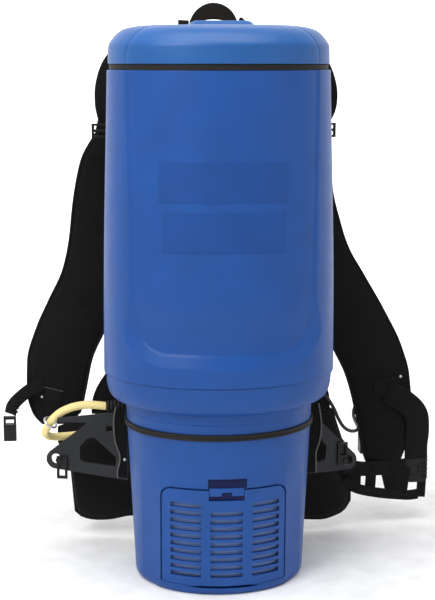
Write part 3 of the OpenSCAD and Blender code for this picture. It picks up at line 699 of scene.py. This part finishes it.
def facet(x, z):
    """The cheeks beside the exhaust door are flat towards the foot of the housing."""
    w, f, _ = motor_size(z)
    x0, x1 = 67.0, 85.0
    y = f * np.sqrt(np.maximum(0, 1 - (x / w) ** 2))
    y0, y1 = f * math.sqrt(1 - (x0 / w) ** 2), f * math.sqrt(max(0, 1 - (x1 / w) ** 2))
    chord = y0 + (y1 - y0) * np.clip((np.abs(x) - x0) / (x1 - x0), 0, 1)
    inside = (np.abs(x) > x0) & (np.abs(x) < x1)
    return np.where(inside, chord - y, 0) * step01((150 - z) / 50)


def flattened(ring, z):
    """A ring of the motor housing with its cheeks flattened as at height z."""
    ring[:, 1] -= np.where(ring[:, 1] < 0, facet(ring[:, 0], z), 0)
    return ring


def make_motor_housing():
    u, v = unit_outline(440, 96, 80, 68)
    levels = np.concatenate([[8, 8.5], np.arange(9.5, 184, 1.6), [185, 186]])
    rows = [flattened(ring_of(u, v, *motor_size(z), z), z) for z in levels]
    b = Build().add(np.concatenate(rows), grid_faces(len(levels), 440))
    obj = b.piece("motor_housing_shell", "blue", replaces=["motor_housing"], slot="blue_plastic")
    modifier(obj, "SOLIDIFY", thickness=4.2 * MM, offset=-1, use_even_offset=True)
    applied(obj)
    seat = door_blank(66.2, 10.4, 117.3, 11.5, 3.5)
    window = door_blank(61.5, 18.6, 107.5, 4, 12)
    latch = Build()
    block(latch, (-17.5, -120, 108), (23, -78.6, 128), 1.2)
    trough = Build()
    block(trough, (-42, -120, 6), (42, -71, 16), 1)
    outlet = Build()
    lathe(outlet, [[0, 6.2], [40, 6.2]], (-80, 44, 177), (-1, 0, 0), 48)
    cutters = [link("cut_" + k, b.mesh("cut_" + k, False), None, body=None)
               for k, b in (("seat", seat), ("window", window), ("latch", latch), ("trough", trough),
                              ("outlet", outlet))]
    cut(obj, *cutters)
    knuckle = Build()
    lathe(knuckle, [[0, 2.7], [0.5, 3.2], [11.5, 3.2], [12, 2.7]], (-6, -73.5, 14), (1, 0, 0), 32)
    block(knuckle, (-6, -72.5, 9), (6, -67, 19), 0.8)
    joined(obj, knuckle)
    # Dark block at the back of the latch recess: painted shade, not a part of its own.
    pocket = Build()
    block(pocket, (-17.3, -79.5, 104.8), (22.8, -76.0, 127.8), 0.3)
    pocket.piece("latch_pocket_painted_shade", "painted_shade", slot="blue_plastic")


def rounded_in(x, z, half, top, r, inner=40):
    """Pulls the outer columns in near a door's upper corners, so that they are round."""
    if z <= top - r or abs(x) <= inner:
        return x
    edge = half - r + math.sqrt(max(0, r * r - (z - top + r) ** 2))
    return math.copysign(inner + (abs(x) - inner) * (edge - inner) / (half - inner), x)


def slab_patch(xs, zs, outer, inner, hole=None, warp=None):
    """Curved plate: cells of a grid laid on outer(x, z) and inner(x, z), with walls round every free edge."""
    nx, count = len(xs), len(xs) * len(zs)
    points = []
    for surface in (outer, inner):
        for z in zs:
            for x in xs:
                wx = warp(x, z) if warp else x
                points.append((wx, surface(wx, z), z))
    faces, edges = [], set()
    for i in range(len(zs) - 1):
        for j in range(nx - 1):
            if hole and hole((xs[j] + xs[j + 1]) / 2, (zs[i] + zs[i + 1]) / 2):
                continue
            a = i * nx + j
            q = (a, a + 1, a + nx + 1, a + nx)
            faces += [q, tuple(k + count for k in q[::-1])]
            edges |= set(zip(q, q[1:] + q[:1]))
    faces += [(b, a, a + count, b + count) for a, b in edges if (b, a) not in edges]
    used = sorted({k for f in faces for k in f})
    place = {k: i for i, k in enumerate(used)}
    faces.sort()
    return Build().add([points[k] for k in used], [tuple(place[k] for k in f) for f in faces])


def spaced(*stops, pitch=2.4):
    """Grid lines through all the stops, no further apart than pitch."""
    stops = sorted(set(round(s, 4) for s in stops))
    out = [stops[0]]
    for a, b in zip(stops, stops[1:]):
        n = max(1, math.ceil((b - a) / pitch))
        out += [a + (b - a) * k / n for k in range(1, n + 1)]
    return out


def door_blank(half, low, top, r, sink):
    """Closed slab over the door's area, from 14 mm in front of the face to sink behind it."""
    zs = spaced(low, top - r, *[top - r + r * math.sin(a) for a in np.linspace(0.2, 1.5, 8)], top, pitch=4)
    return slab_patch(spaced(-half, -40, 40, half), zs, lambda x, z: motor_front(x, z) - 14,
                      lambda x, z: motor_front(x, z) + sink, warp=lambda x, z: rounded_in(x, z, half, top, r))


LOUVRES = ((-40.5, 31, 10), (1.8, 33.5, 9), (43.8, 29, 10))  # middle, width and number in each column
LOUVRE_LOW, LOUVRE_PITCH, LOUVRE_GAP = 20, 8.45, 4.9
DOOR_HALF, DOOR_TOP, DOOR_R = 65, 115.5, 11


def slot_at(x, z):
    for mid, width, n in LOUVRES:
        if abs(x - mid) < width / 2:
            k = (z - LOUVRE_LOW) / LOUVRE_PITCH
            return 0 <= k < n and (k % 1) * LOUVRE_PITCH < LOUVRE_GAP
    return False


def make_door():
    shoulder = DOOR_TOP - DOOR_R
    notch = (-16.9, 20.4)
    zs = spaced(11, *[LOUVRE_LOW + LOUVRE_PITCH * i + d for i in range(10) for d in (0, LOUVRE_GAP)],
                shoulder, *[shoulder + DOOR_R * math.sin(a) for a in np.linspace(0.2, 1.5, 8)],
                DOOR_TOP, pitch=3)
    xs = spaced(-DOOR_HALF, -56, -25, -14.95, 18.55, *notch, 29.3, 58.3, DOOR_HALF, pitch=2.2)

    def open_at(x, z):
        return slot_at(x, z) or (notch[0] < x < notch[1] and z > shoulder)
    door = slab_patch(xs, zs, lambda x, z: motor_front(x, z) - 0.35, lambda x, z: motor_front(x, z, 3.0),
                      open_at, lambda x, z: rounded_in(x, z, DOOR_HALF, DOOR_TOP, DOOR_R))
    for x in (-11, 6.4):
        lathe(door, [[0, 2.7], [0.4, 3.2], [4.2, 3.2], [4.6, 2.7]], (x, -73.5, 14), (1, 0, 0), 32)
        block(door, (x, -77.6, 13), (x + 4.6, -74.4, 17), 0.4)
    softened(door.piece("exhaust_door_panel", "blue", body="door", replaces=["exhaust_door"],
                        slot="blue_plastic"), 1.1, 40, 3)
    tab = slab_patch(spaced(-16.5, -3, 7, 20, pitch=2.2), spaced(109.5, 113.5, 118, pitch=2),
                     lambda x, z: motor_front(x, z) - 0.2, lambda x, z: motor_front(x, z, 3.0),
                     lambda x, z: -3 < x < 7 and z < 113.5)
    softened(tab.piece("door_latch_plate", "blue", body="door_latch", replaces=["door_latch_tab"],
                       slot="blue_plastic"), 0.6, 40, 2)
    mesh = slab_patch(spaced(-60, 60, pitch=3), spaced(19.4, 102, pitch=6),
                      lambda x, z: motor_front(x, z, 4.3), lambda x, z: motor_front(x, z, 4.9))
    mesh.piece("door_screen", "screen", body="door", slot="filter_fibre")
    pleats = slab_patch(np.linspace(-59, 59, 237), spaced(24, 116, pitch=8),
                        lambda x, z: motor_front(x, z, 14.4 + 1.6 * abs(((x / 4) % 2) - 1)),
                        lambda x, z: motor_front(x, z, 16.4 + 1.6 * abs(((x / 4) % 2) - 1)))
    pleats.piece("exhaust_filter_pleats", "fleece", smooth=False, replaces=["exhaust_filter"],
                 slot="filter_fibre")


def make_base():
    u, v = unit_outline(360, 90, 78, 64)
    rows = []
    for z, w, f, r in ((0, 86.6, 74.2, 61.2), (0.5, 87.4, 75, 62), (3, 89.2, 77.2, 63.6),
                       (6, 91.0, 78.5, 64.6), (7.5, 91.1, 78.6, 64.7), (8, 90.7, 78.2, 64.3)):
        rows.append(flattened(ring_of(u, v, w, f, r, z), 8))
    softened(from_rings(rows).piece(
        "base_cover_shell", "blue", replaces=["base_cover"], slot="blue_plastic"), 0.4, 50)


def make_band():
    """Rubber band with a shallow groove, round the front from strap to strap."""
    section = [(169, 0.3), (169, 1.6), (169.6, 2.3), (171.2, 2.4), (171.8, 1.7), (172.6, 1.7), (173.2, 2.4),
               (174.9, 2.3), (175.5, 1.6), (175.5, 0.3)]
    a = np.linspace(math.radians(158), math.radians(382), 220)
    u, v = plan(a)
    rows = []
    for i in range(len(a)):
        depth = 84 if v[i] < 0 else 70
        for z, out in section[::-1]:
            rows.append((u[i] * (99.5 + out), v[i] * (depth - 0.5 + out), z))
    m = len(section)
    rows = [r for k in range(len(a)) for r in rows[k * m:(k + 1) * m] if rows[k * m][1] < 33.2]
    Build().add(rows, capped(len(rows) // m, m)).piece(
        "retaining_band_rubber", "rubber", replaces=["retaining_band"], slot="black_rubber")


HUMP_X, HUMP_Y, HUMP_R = 39, 56, 16


def lid_height(x, y):
    """Height of the hose inlet's hump over the lid's plan, and 0 outside its foot."""
    qx, qy = np.abs(x) - HUMP_X + HUMP_R, np.abs(y - 4) - HUMP_Y + HUMP_R
    away = np.hypot(np.maximum(qx, 0), np.maximum(qy, 0)) + np.minimum(np.maximum(qx, qy), 0) - HUMP_R
    return np.where(away < 0, 587 + 7.2 * step01(-away / 13), 0)


def lid_groove(x, y, z):
    """Moulded line that carries the edge of the front panel up the lid and in over its shoulders."""
    half, top, corner = 97, 590, 34
    away = past_corner(np.abs(x) - half + corner, z - top + corner) - corner
    return 0.8 * np.exp(-(away / 1.0) ** 2) * step01((np.abs(x) - 55) / 15) * step01((-5 - y) / 12)


def make_lid():
    profile = [[0, 0.6], [0.6, 0], [17, 0.4], [27, 6], [34, 14], [37.5, 25], [39, 38]]
    w, f, r, foot, n = 115.2, 97, 72, 551, 560
    inlet_y, inlet_r = 8, 26.8
    u, v = unit_outline(n, w, f, r)
    rows = []
    for h in np.concatenate([[0, 0.6], np.linspace(2, 37, 50), np.linspace(37.3, 39, 12)]):
        s = eased(profile, h)
        ring = ring_of(u, v, w - s, f - 1.1 * s, r - 0.6 * s, foot + h)
        sunk = lid_groove(*ring.T)
        tilt = step01((h - 18) / 18)
        ring[:, 2] -= sunk * tilt
        ring[:, 1] += sunk * (1 - tilt)
        if h > 30:
            ring[:, 2] = np.maximum(ring[:, 2], lid_height(ring[:, 0], ring[:, 1]))
        rows.append(ring)
    last = rows[-1].copy()
    angle = np.arctan2(last[:, 1] - inlet_y, last[:, 0])
    rim = np.stack([inlet_r * np.cos(angle), inlet_y + inlet_r * np.sin(angle)], 1)
    for t in np.linspace(0, 1, 48)[1:]:
        xy = last[:, :2] * (1 - t) + rim * t
        rows.append(np.c_[xy, np.maximum(590 + 0.5 * t, lid_height(xy[:, 0], xy[:, 1]))])
    for radius, z in ((inlet_r, 591.7), (24, 591.7), (24, 588)):
        rows.append(np.stack([radius * np.cos(angle), inlet_y + radius * np.sin(angle), np.full(n, z)], 1))
    b = Build().add(np.concatenate(rows), grid_faces(len(rows), n))
    # Its material is the lighter blue, painted light from overhead.
    obj = b.piece("lid_shell", "lid", body="lid", replaces=["lid"], slot="blue_plastic")
    modifier(obj, "SOLIDIFY", thickness=3 * MM, offset=-1, use_even_offset=False)
    applied(obj)
    keepers = Build()
    for x in (-76, 64):
        block(keepers, (x, 60, 552), (x + 12, 72.5, 557), 0.8)
    joined(obj, keepers)


def make_labels():
    """Two plain darker labels on the front panel, without the maker's words."""
    for name, x0, x1, z0, z1 in (("upper_label", -67, 63, 415, 455), ("lower_label", -64, 61, 365, 405)):
        patch = slab_patch(spaced(x0, x1, pitch=2), spaced(z0, z1, pitch=5),
                           lambda x, z: bag_front(x, z) + PANEL_SINK - 0.25,
                           lambda x, z: bag_front(x, z) + PANEL_SINK + 0.3)
        softened(patch.piece(name, "label", slot="blue_plastic"), 0.1, 40, 1)


make_bag_housing()
make_collar()
make_motor_housing()
make_door()
make_base()
make_band()
make_lid()
make_labels()


# ---------------------------------------------------------------- padded fabric
STEP = 6.0
PAD_FRONT = 142


def pad_rows(stations):
    """Even rows between stations of [place, low edge, high edge, distance behind the axis]."""
    t = np.array(sorted(stations), float)
    places = np.linspace(t[0, 0], t[-1, 0], int((t[-1, 0] - t[0, 0]) / STEP) + 1)
    return [[at] + eased_row(t, at) for at in places]


def make_pad(name, node, stations, thick, upright=True, seams=(), behind=0.0):
    """Two layers of cloth that share their border, slack enough for the foam to fill them out."""
    rows = pad_rows(stations)
    n = len(rows)
    m = int(max(b - a for _, a, b, _ in rows) / STEP) + 1
    share = np.linspace(0, 1, m)
    points, pins = [], []
    for side in (-1, 1):
        for i, (at, a, b, y) in enumerate(rows):
            for s in share:
                e = a + (b - a) * s
                edge = min(e - a, b - e, min(i, n - 1 - i) * STEP)
                rise = math.sqrt(1 - (1 - min(1, edge / (0.9 * thick))) ** 2)
                seam = sum(math.exp(-((s - c) * (b - a) / 5) ** 2) for c in seams)
                h = side * max(0, thick / 2 - 3) * rise * (1 - 0.8 * min(1, seam))
                points.append((e, y + behind + h, at) if upright else (at, y + behind + h, e))
                pins.append(edge < 0.01 or seam > 0.8)
    count = n * m
    shared = {k + count: k for k in border(n, m)}
    order = [k for k in range(2 * count) if k not in shared]
    place = {k: i for i, k in enumerate(order)}
    place.update({k: place[v] for k, v in shared.items()})
    front = grid_faces(n, m, closed=False)
    faces = [tuple(place[k] for k in (f if upright else f[::-1])) for f in front]
    faces += [tuple(place[k + count] for k in (f[::-1] if upright else f)) for f in front]
    obj = Build().add([points[k] for k in order], faces).piece(
        name, "fabric", replaces=[node], slot="pad_fabric")
    group = obj.vertex_groups.new(name="sewn")
    group.add([place[k] for k in order if pins[k]], 1.0, "REPLACE")
    return obj, [points[k] for k in border(n, m)]


def inflate(pads, cap=4.5):
    """Foam pressure pushes the cloth out between its sewn edges; cap is the furthest that a point moves."""
    scene = bpy.context.scene
    for pad in pads:
        cloth = pad.modifiers.new("cloth", "CLOTH")
        cloth.settings.quality = 5
        cloth.settings.vertex_group_mass = "sewn"
        cloth.settings.use_pressure = True
        cloth.settings.uniform_pressure_force = 4
        cloth.settings.effector_weights.gravity = 0
        cloth.point_cache.frame_start, cloth.point_cache.frame_end = 1, 20
    for frame_number in range(1, 21):
        scene.frame_set(frame_number)
    for pad in pads:
        old = np.array([v.co for v in pad.data.vertices])
        applied(pad)
        move = np.array([v.co for v in pad.data.vertices]) - old
        far = np.linalg.norm(move, axis=1)
        move *= np.minimum(1, cap * MM / np.maximum(far, 1e-9))[:, None]
        pad.data.vertices.foreach_set("co", (old + move).ravel())
        pad.data.update()
    scene.frame_set(1)
    for pad in pads:
        pad.data.shade_smooth()
        border = pad.data.attributes.new("crease_edge", "FLOAT", "EDGE")
        sewn = pad.vertex_groups["sewn"].index
        rim = [any(g.group == sewn for g in v.groups) for v in pad.data.vertices]
        border.data.foreach_set("value", [float(all(rim[k] for k in e.vertices)) for e in pad.data.edges])
        corners = pad.data.attributes.new("crease_vert", "FLOAT", "POINT")
        corners.data.foreach_set("value", [float(r) for r in rim])
        modifier(pad, "SUBSURF", levels=1, render_levels=1)
        applied(pad)


def piping(build, loop, radius):
    """Round binding along a closed border."""
    p = np.array(loop, float)
    t = np.roll(p, -1, 0) - np.roll(p, 1, 0)
    t /= np.linalg.norm(t, axis=1)[:, None]
    rows = []
    for q, d in zip(p, t):
        side = unit(np.cross(d, (0, 1, 0)))
        up = np.cross(side, d)
        rows += [q + radius * (side * math.cos(a) + up * math.sin(a)) for a in np.arange(8) * math.pi / 4]
    count = len(rows)
    build.add(rows, [tuple(k % count for k in face) for face in grid_faces(len(p) + 1, 8)])


def surface_of(obj):
    """Returns a function that gives y on the front or back of a pad at x and z, all in mm."""
    tree = BVHTree.FromPolygons([v.co[:] for v in obj.data.vertices],
                                [tuple(f.vertices) for f in obj.data.polygons])

    def depth(x, z, back=False):
        start = 1.0 if back else -1.0
        hit = tree.ray_cast(Vector((x * MM, start, z * MM)), Vector((0, -start, 0)))[0]
        return None if hit is None else hit.y / MM
    return depth


def sewn_lines(build, depth, paths, sides=(False, True)):
    """Runs of stitches that follow the cloth along paths of (x, z)."""
    for path in paths:
        for back in sides:
            line = [(x, depth(x, z, back), z) for x, z in path]
            line = [p for p in line if p[1] is not None]
            if len(line) > 1:
                stitches(build, line, (0, 1 if back else -1, 0), 4.2, 2.8, 0.42, 0.15)


def edge_paths(stations, inset, upright=True):
    low, high = [], []
    for at, a, b, _ in pad_rows(stations)[1:-1]:
        if b - a > 2.6 * inset:
            low.append((a + inset, at) if upright else (at, a + inset))
            high.append((b - inset, at) if upright else (at, b - inset))
    return [low, high]


def cloth_patch(name, depth, x0, x1, z0, z1, slant=0.0, lift=1.1, material="webbing"):
    """Square of webbing sewn to a pad; slant is its fall from left to right."""
    n = 9
    outer, inner, uvs = [], [], []
    for i in range(n):
        for j in range(n):
            x = x0 + (x1 - x0) * j / (n - 1)
            z = z0 + (z1 - z0) * i / (n - 1) - slant * (j / (n - 1) - 0.5)
            y = depth(x, z) or PAD_FRONT
            crown = lift * (0.55 if i in (0, n - 1) or j in (0, n - 1) else 1)
            outer.append((x, y - crown, z))
            inner.append((x, y + 0.6, z))
            uvs.append((x, z))
    front = grid_faces(n, n, closed=False)
    count = n * n
    rim = border(n, n)
    faces = front + [tuple(k + count for k in f[::-1]) for f in front]
    faces += [(b, a, a + count, b + count) for a, b in zip(rim, rim[1:] + rim[:1])]
    Build().add(outer + inner, faces, uvs * 2).piece(name, material, slot="black_webbing")
    return outer


LEFT_PAD = [[478, -127, -105, 108], [443, -146, -92, 135], [396, -156, -84, 150], [348, -162, -88, 158],
            [313, -170, -97, 160], [277, -187, -109, 160], [242, -203, -123, 157], [207, -213, -139, 152],
            [170, -214, -147, 148], [144, -207, -154, 144], [133, -197, -171, 142]]
RIGHT_PAD = [[478, 108, 130, 104], [442, 94, 140, 130], [408, 70, 144, 146], [368, 79, 155, 155],
             [335, 89, 167, 160], [304, 105, 185, 160], [259, 129, 211, 158], [218, 149, 231, 154],
             [182, 166, 241, 150], [135, 178, 244, 146], [91, 186, 236, 144], [70, 194, 228, 144]]
HIP_PAD = [[-178, 111, 130, 128.5], [-166, 102, 134, 128.5], [-163.5, 90, 136, 128],
           [-162.5, 34, 136.5, 127.5], [-157, 24, 137, 127], [-147, 19.5, 137, 125],
           [-136, 18.5, 138, 122], [-119, 20, 141, 118], [-95, 25, 150, 115], [0, 26, 152, 112],
           [95, 17, 150, 115], [120, 13.5, 150, 118], [136, 12.5, 150, 120], [143, 13.5, 149, 122],
           [149, 15, 134, 124], [156, 17, 111, 126], [165, 23, 98, 129], [169.5, 31, 88, 130]]
BACK_PAD = [[z, -w, w, y] for z, w, y in
            ((153, 138, 108), (166, 137, 106), (180, 133, 104), (196, 124, 102), (240, 94, 98),
             (330, 84, 96), (430, 76, 96), (505, 64, 98), (520, 52, 99))]


def make_pads():
    kinds = (("left_shoulder_cushion", "left_shoulder_pad", LEFT_PAD, 12, True, (), 0),
             ("right_shoulder_cushion", "right_shoulder_pad", RIGHT_PAD, 12, True, (), 0),
             ("hip_cushion", "hip_pad", HIP_PAD, 16, False, (0.5,), 6),
             ("back_cushion", "back_pad", BACK_PAD, 10, True, (0.3, 0.7), 0))
    made = [make_pad(*kind) for kind in kinds]
    inflate([pad for pad, _ in made])
    binding, thread, pale = Build(), Build(), Build()
    fronts = {}
    for (pad, loop), (name, _, stations, _, upright, _, _) in zip(made, kinds):
        piping(binding, loop, 1.6)
        fronts[name] = surface_of(pad)
        sewn_lines(thread, fronts[name], edge_paths(stations, 7, upright))
    binding.piece("pad_binding", "binding", slot="pad_fabric")
    left, right = fronts["left_shoulder_cushion"], fronts["right_shoulder_cushion"]
    patch = cloth_patch("left_pad_patch", left, -204, -173, 160, 175, 8)
    # The top row of stitches is pale, a painted highlight along the patch's top edge; the bottom row is dark
    # thread.
    stitches(pale, patch[-9:], (0, -1, 0), 3.0, 2.4, 0.45, 0.2)
    stitches(thread, patch[:9], (0, -1, 0), 3.0, 2.2, 0.4, 0.2)
    patch = cloth_patch("right_pad_patch", right, 197, 224, 159, 179, -3)
    for line in (patch[-9:], patch[:9], patch[::9], patch[8::9]):
        stitches(thread, line, (0, -1, 0), 3.0, 2.2, 0.4, 0.2)
    thread.piece("pad_stitching", "dark_thread", slot="pad_fabric")
    pale.piece("patch_stitching_painted_highlight", "thread", slot="pad_fabric")
    rivets = Build()
    for depth, x, z in ((left, -197.3, 164.7), (right, 231, 180.5)):
        lathe(rivets, [[-1, 1.9], [0.5, 1.9], [1.0, 1.5], [1.3, 0.7]], (x, depth(x, z) or PAD_FRONT, z),
              (0, -1, 0), 20)
    lathe(rivets, [[-1, 1.8], [0.4, 1.8], [0.9, 1.4], [1.1, 0.6]], (-102, 31.9, 118.4), (0, -1, 0), 20)
    rivets.piece("harness_rivets", "steel", slot="steel")


make_pads()


# ---------------------------------------------------------------- webbing
def strip(build, left, right, thick, out, steps=6):
    """Woven strip between two edge lines."""
    a, b = smooth(left, steps), smooth(right, steps)
    out = unit(np.array(out, float))
    section = web_section(1)
    mid, half = (a + b) / 2, (b - a) / 2
    rows = [c + d * s + out * h * thick / 2 for c, d in zip(mid, half) for s, h in section]
    uvs = [(s * np.linalg.norm(d), v) for d, v in zip(half, run_of(mid)) for s, h in section]
    build.add(rows, capped(len(a), len(section)), uvs)


def box_stitch(build, at, along, across, out, length, width):
    """The crossed square of stitches that holds a folded strap end."""
    at, along, across = np.array(at, float), unit(np.array(along, float)), unit(np.array(across, float))
    corner = [at + along * i * length / 2 + across * j * width / 2
              for i, j in ((-1, -1), (1, -1), (1, 1), (-1, 1))]
    for a, b in ((0, 1), (1, 2), (2, 3), (3, 0), (0, 2), (1, 3)):
        stitches(build, [corner[a], corner[b]], out, 3.0, 2.2, 0.36, 0.1)


def make_webbing():
    thread = Build()
    uppers = (("left", [[-34, 88, 566], [-60, 88, 567], [-84, 88.5, 562], [-102, 90, 548], [-110, 92, 528],
                        [-111, 94, 508], [-108, 98, 490], [-112, 107, 472]]),
              ("right", [[34, 88, 566], [60, 88, 567], [88, 88.5, 562], [110, 90, 548], [120, 92, 527],
                         [121, 94, 507], [114, 98, 489], [117, 107, 472]]))
    for side, route in uppers:
        b = Build()
        ribbon(b, route, 38)
        b.piece(side + "_upper_web", "webbing", replaces=[side + "_upper_webbing"], slot="black_webbing")
        x = -50 if side == "left" else 50
        for y, out in ((89.2, 1), (86.8, -1)):
            box_stitch(thread, (x, y, 566.5), (1, 0, 0), (0, 0, 1), (0, out, 0), 22, 28)
    lower = Build()
    for route, width in (
            ([[160, 130, 58], [172, 132, 49.5], [185, 134, 43.8], [209, 139, 37.8], [228, 143, 34.5],
              [244, 146, 32.3], [256, 148, 33]], 12.5),
            ([[160, 129.4, 76], [184, 135.4, 70], [205, 139.6, 69], [240, 145.4, 70]], 18),
            ([[214, 141.6, 163], [233, 139.4, 153], [249, 139, 137], [252, 140, 116], [251, 142.3, 96],
              [252, 145, 78]], 28),
            ([[177, 133.4, 72], [176, 133.2, 44]], 12),
            ([[196, 137.3, 70], [194, 136.6, 40]], 13),
            ([[217, 141.7, 68], [225, 142.5, 35]], 19),
            ([[236, 144.6, 68], [231, 143.9, 34]], 20),
            ([[259.5, 148.6, 29], [260.5, 147.8, 56]], 11)):
        ribbon(lower, route, width)
    lower.piece("lower_web", "webbing", replaces=["lower_webbing"], slot="black_webbing")
    sternum = Build()
    ribbon(sternum, [[-196, 141, 180], [-209, 137, 176], [-221, 133, 168], [-231, 131, 158],
                     [-234, 131, 148]], 15, 2, (0.45, 0.893, 0))
    for k, (x, y, z) in enumerate(((-227, 130, 163), (-229.6, 129.8, 159.5), (-231.6, 129.6, 155.6),
                                   (-233, 129.4, 151.5))):
        lathe(sternum, [[0, 0.9], [0.5, 1.3], [16.5, 1.3], [17, 0.9]],
              np.array((x, y, z)) - np.array((7.2, -3.4, 3.4 - k)), (0.84, -0.42, 0.3 - 0.1 * k), 10)
    sternum.piece("sternum_web", "webbing", replaces=["sternum_webbing"], slot="black_webbing")
    sides = Build()
    left_edge = [[-111, 32.4, 178], [-113.6, 31.8, 164], [-112.4, 32.2, 140], [-107.2, 32.8, 121],
                 [-110.3, 32.3, 104], [-109.6, 33, 97]]
    right_edge = [[114, 32.4, 178], [116.6, 31.8, 163], [117.4, 31.8, 148], [115.4, 32.2, 134],
                  [111.8, 32.6, 122], [112, 32.6, 107], [112, 33, 98]]
    for inner_x, edge in ((-99.6, left_edge), (101.2, right_edge)):
        strip(sides, [[inner_x, 34.2, z] for _, _, z in edge], [[x, y + 1.9, z] for x, y, z in edge],
              2.4, (0, 1, 0))
    sides.piece("side_web", "webbing", replaces=["side_straps"], slot="black_webbing")
    # Pale grey strip along each side strap's outer edge: a painted edge highlight.
    edge_highlight_strip = Build()
    for edge in (left_edge, right_edge):
        ribbon(edge_highlight_strip, [[x + math.copysign(0.3, x), y + 0.5, z] for x, y, z in edge], 1.6, 1.6, (0, 1, 0))
    edge_highlight_strip.piece("side_web_edge_highlight", "thread", slot="black_webbing")
    bar = Build()
    strip(bar, [[-97, 39, 171], [-112, 39, 171], [-142, 39.3, 168.4], [-164, 39.7, 166.6], [-176, 40, 165.4]],
          [[-97, 39, 157], [-112, 39, 157], [-142, 39.3, 159.4], [-164, 39.7, 160.4], [-176, 40, 160.6]],
          2.6, (0, 1, 0))
    bar.piece("cord_retainer_bar", "slate", replaces=["cord_retainer_strap"], slot="black_webbing")
    grip_web = Build()
    x0, y = 1, 85
    turn = np.radians(np.arange(180, -1, -9))
    outer = [[x0 - 27.5, y, 570]] + [[x0 + 27.5 * math.cos(a), y, 588 + 29 * math.sin(a)] for a in turn]
    inner = [[x0 - 23.5, y, 570]] + [[x0 + 23.5 * math.cos(a), y, 588 + 11 * math.sin(a)] for a in turn]
    strip(grip_web, outer + [[x0 + 27.5, y, 570]], inner + [[x0 + 23.5, y, 570]], 2.8, (0, 1, 0), 3)
    strip(grip_web, [[x0 - 39, y, 572], [x0 - 39, y, 585], [x0 - 39, y, 598.5]],
          [[x0 - 27.2, y, 572], [x0 - 27.2, y, 585], [x0 - 27.2, y, 598]], 2.8, (0, 1, 0))
    strip(grip_web, [[x0 + 27.2, y, 572], [x0 + 27, y, 588], [x0 + 26.8, y, 595], [x0 + 28.5, y, 601]],
          [[x0 + 38, y, 572], [x0 + 38, y, 588], [x0 + 37, y, 595], [x0 + 31, y, 601.6]], 2.8, (0, 1, 0))
    grip_web.piece("carry_handle_web", "brown", replaces=["carry_handle"], slot="brown_webbing")
    for x in (x0 - 33, x0 + 32.6):
        for out in (-1, 1):
            stitches(thread, [(x, y + 1.4 * out, 574), (x, y + 1.4 * out, 594)], (0, out, 0), 3, 2.2, 0.36, 0)
    thread.piece("web_stitching", "dark_thread", slot="black_webbing")


make_webbing()


# ---------------------------------------------------------------- filter bag and foam
def make_filters():
    u, v = unit_outline(432)
    table = [[240, 100, 78, 56], [262, 113, 88, 64], [505, 108, 86, 63], [536, 74, 60, 46]]
    rows = []
    for z in np.concatenate([[240.4], np.linspace(241, 300, 20), np.linspace(304, 500, 60),
                             np.linspace(502, 535.6, 14)]):
        ring = ring_of(u, v, *eased_row(table, z), z)
        a = np.arctan2(ring[:, 1], ring[:, 0])
        fold = 0.5 + 0.5 * np.cos(36 * a + 0.6 * math.sin(z / 23))
        slack = 0.5 + 0.5 * np.sin(3 * a + z / 31) * np.cos(5 * a - z / 47)
        ring[:, :2] *= (1 - 0.016 * fold - 0.020 * slack)[:, None]
        rows.append(ring)
    bag = from_rings(rows).piece(
        "filter_bag_paper", "paper", replaces=["filter_bag"], slot="bag_paper")
    levels = ((209.8, 1.6), (210.4, 0.6), (211.2, 0.2), (217, 0.9), (222.8, 0.2), (223.6, 0.6), (224.2, 1.6))
    rows = [ring_of(u, v, 110.4 - s, 87 - s, 63 - s, z) for z, s in levels]
    foam = from_rings(rows).piece(
        "prefilter_foam", "foam", replaces=["foam_prefilter"], slot="filter_foam")


make_filters()


# ---------------------------------------------------------------- CAD nodes that stay
FINISHES = {"blue_plastic": "blue", "black_rubber": "rubber", "black_plastic": "black",
            "slate_plastic": "slate", "steel": "steel", "bag_card": "card", "aluminium": "aluminium",
            "copper_winding": "copper", "carbon": "carbon", "brass": "brass", "red_rocker": "red"}


def glow_behind(material):
    """The backdrop is lit on its own, so it stays white while the floor round the object is not."""
    tree = material.node_tree
    bsdf = tree.nodes["Principled BSDF"]
    bsdf.inputs["Emission Color"].default_value = (1, 1, 1, 1)
    far = map_range(tree, coordinate(tree, "Object", "Y"), 0.25, 1.1, 0.0, 0.6)
    tree.links.new(far, bsdf.inputs["Emission Strength"])


def dress_frame():
    for row in frame["record"]["subparts"]:
        node = frame["nodes"][row["node"]]
        key = FINISHES.get(row["material_slot"])
        if key is None:
            continue
        node.data.materials.clear()
        node.data.materials.append(MATS[key])
        node.data.shade_smooth()
        modifier(node, "WELD", merge_threshold=0.00001)
        softened(node, 0.35, 32, 2)


dress_frame()


# ---------------------------------------------------------------- floor
def make_floor():
    """Pale floor that sweeps up into a backdrop."""
    foot, r, high = 900, 900, 4000
    profile = [(-4000, 0), (foot, 0)] + [(foot + r * math.sin(a), r - r * math.cos(a))
                                         for a in np.linspace(0.1, math.pi / 2, 14)] + [(foot + r, high)]
    rows = [(x, y, z) for y, z in profile for x in (-5000, 5000)]
    faces = [(2 * i, 2 * i + 1, 2 * i + 3, 2 * i + 2) for i in range(len(profile) - 1)]
    floor = Build().add(rows, faces).piece("studio_floor", "floor", body=None)
    glow_behind(MATS["floor"])


make_floor()
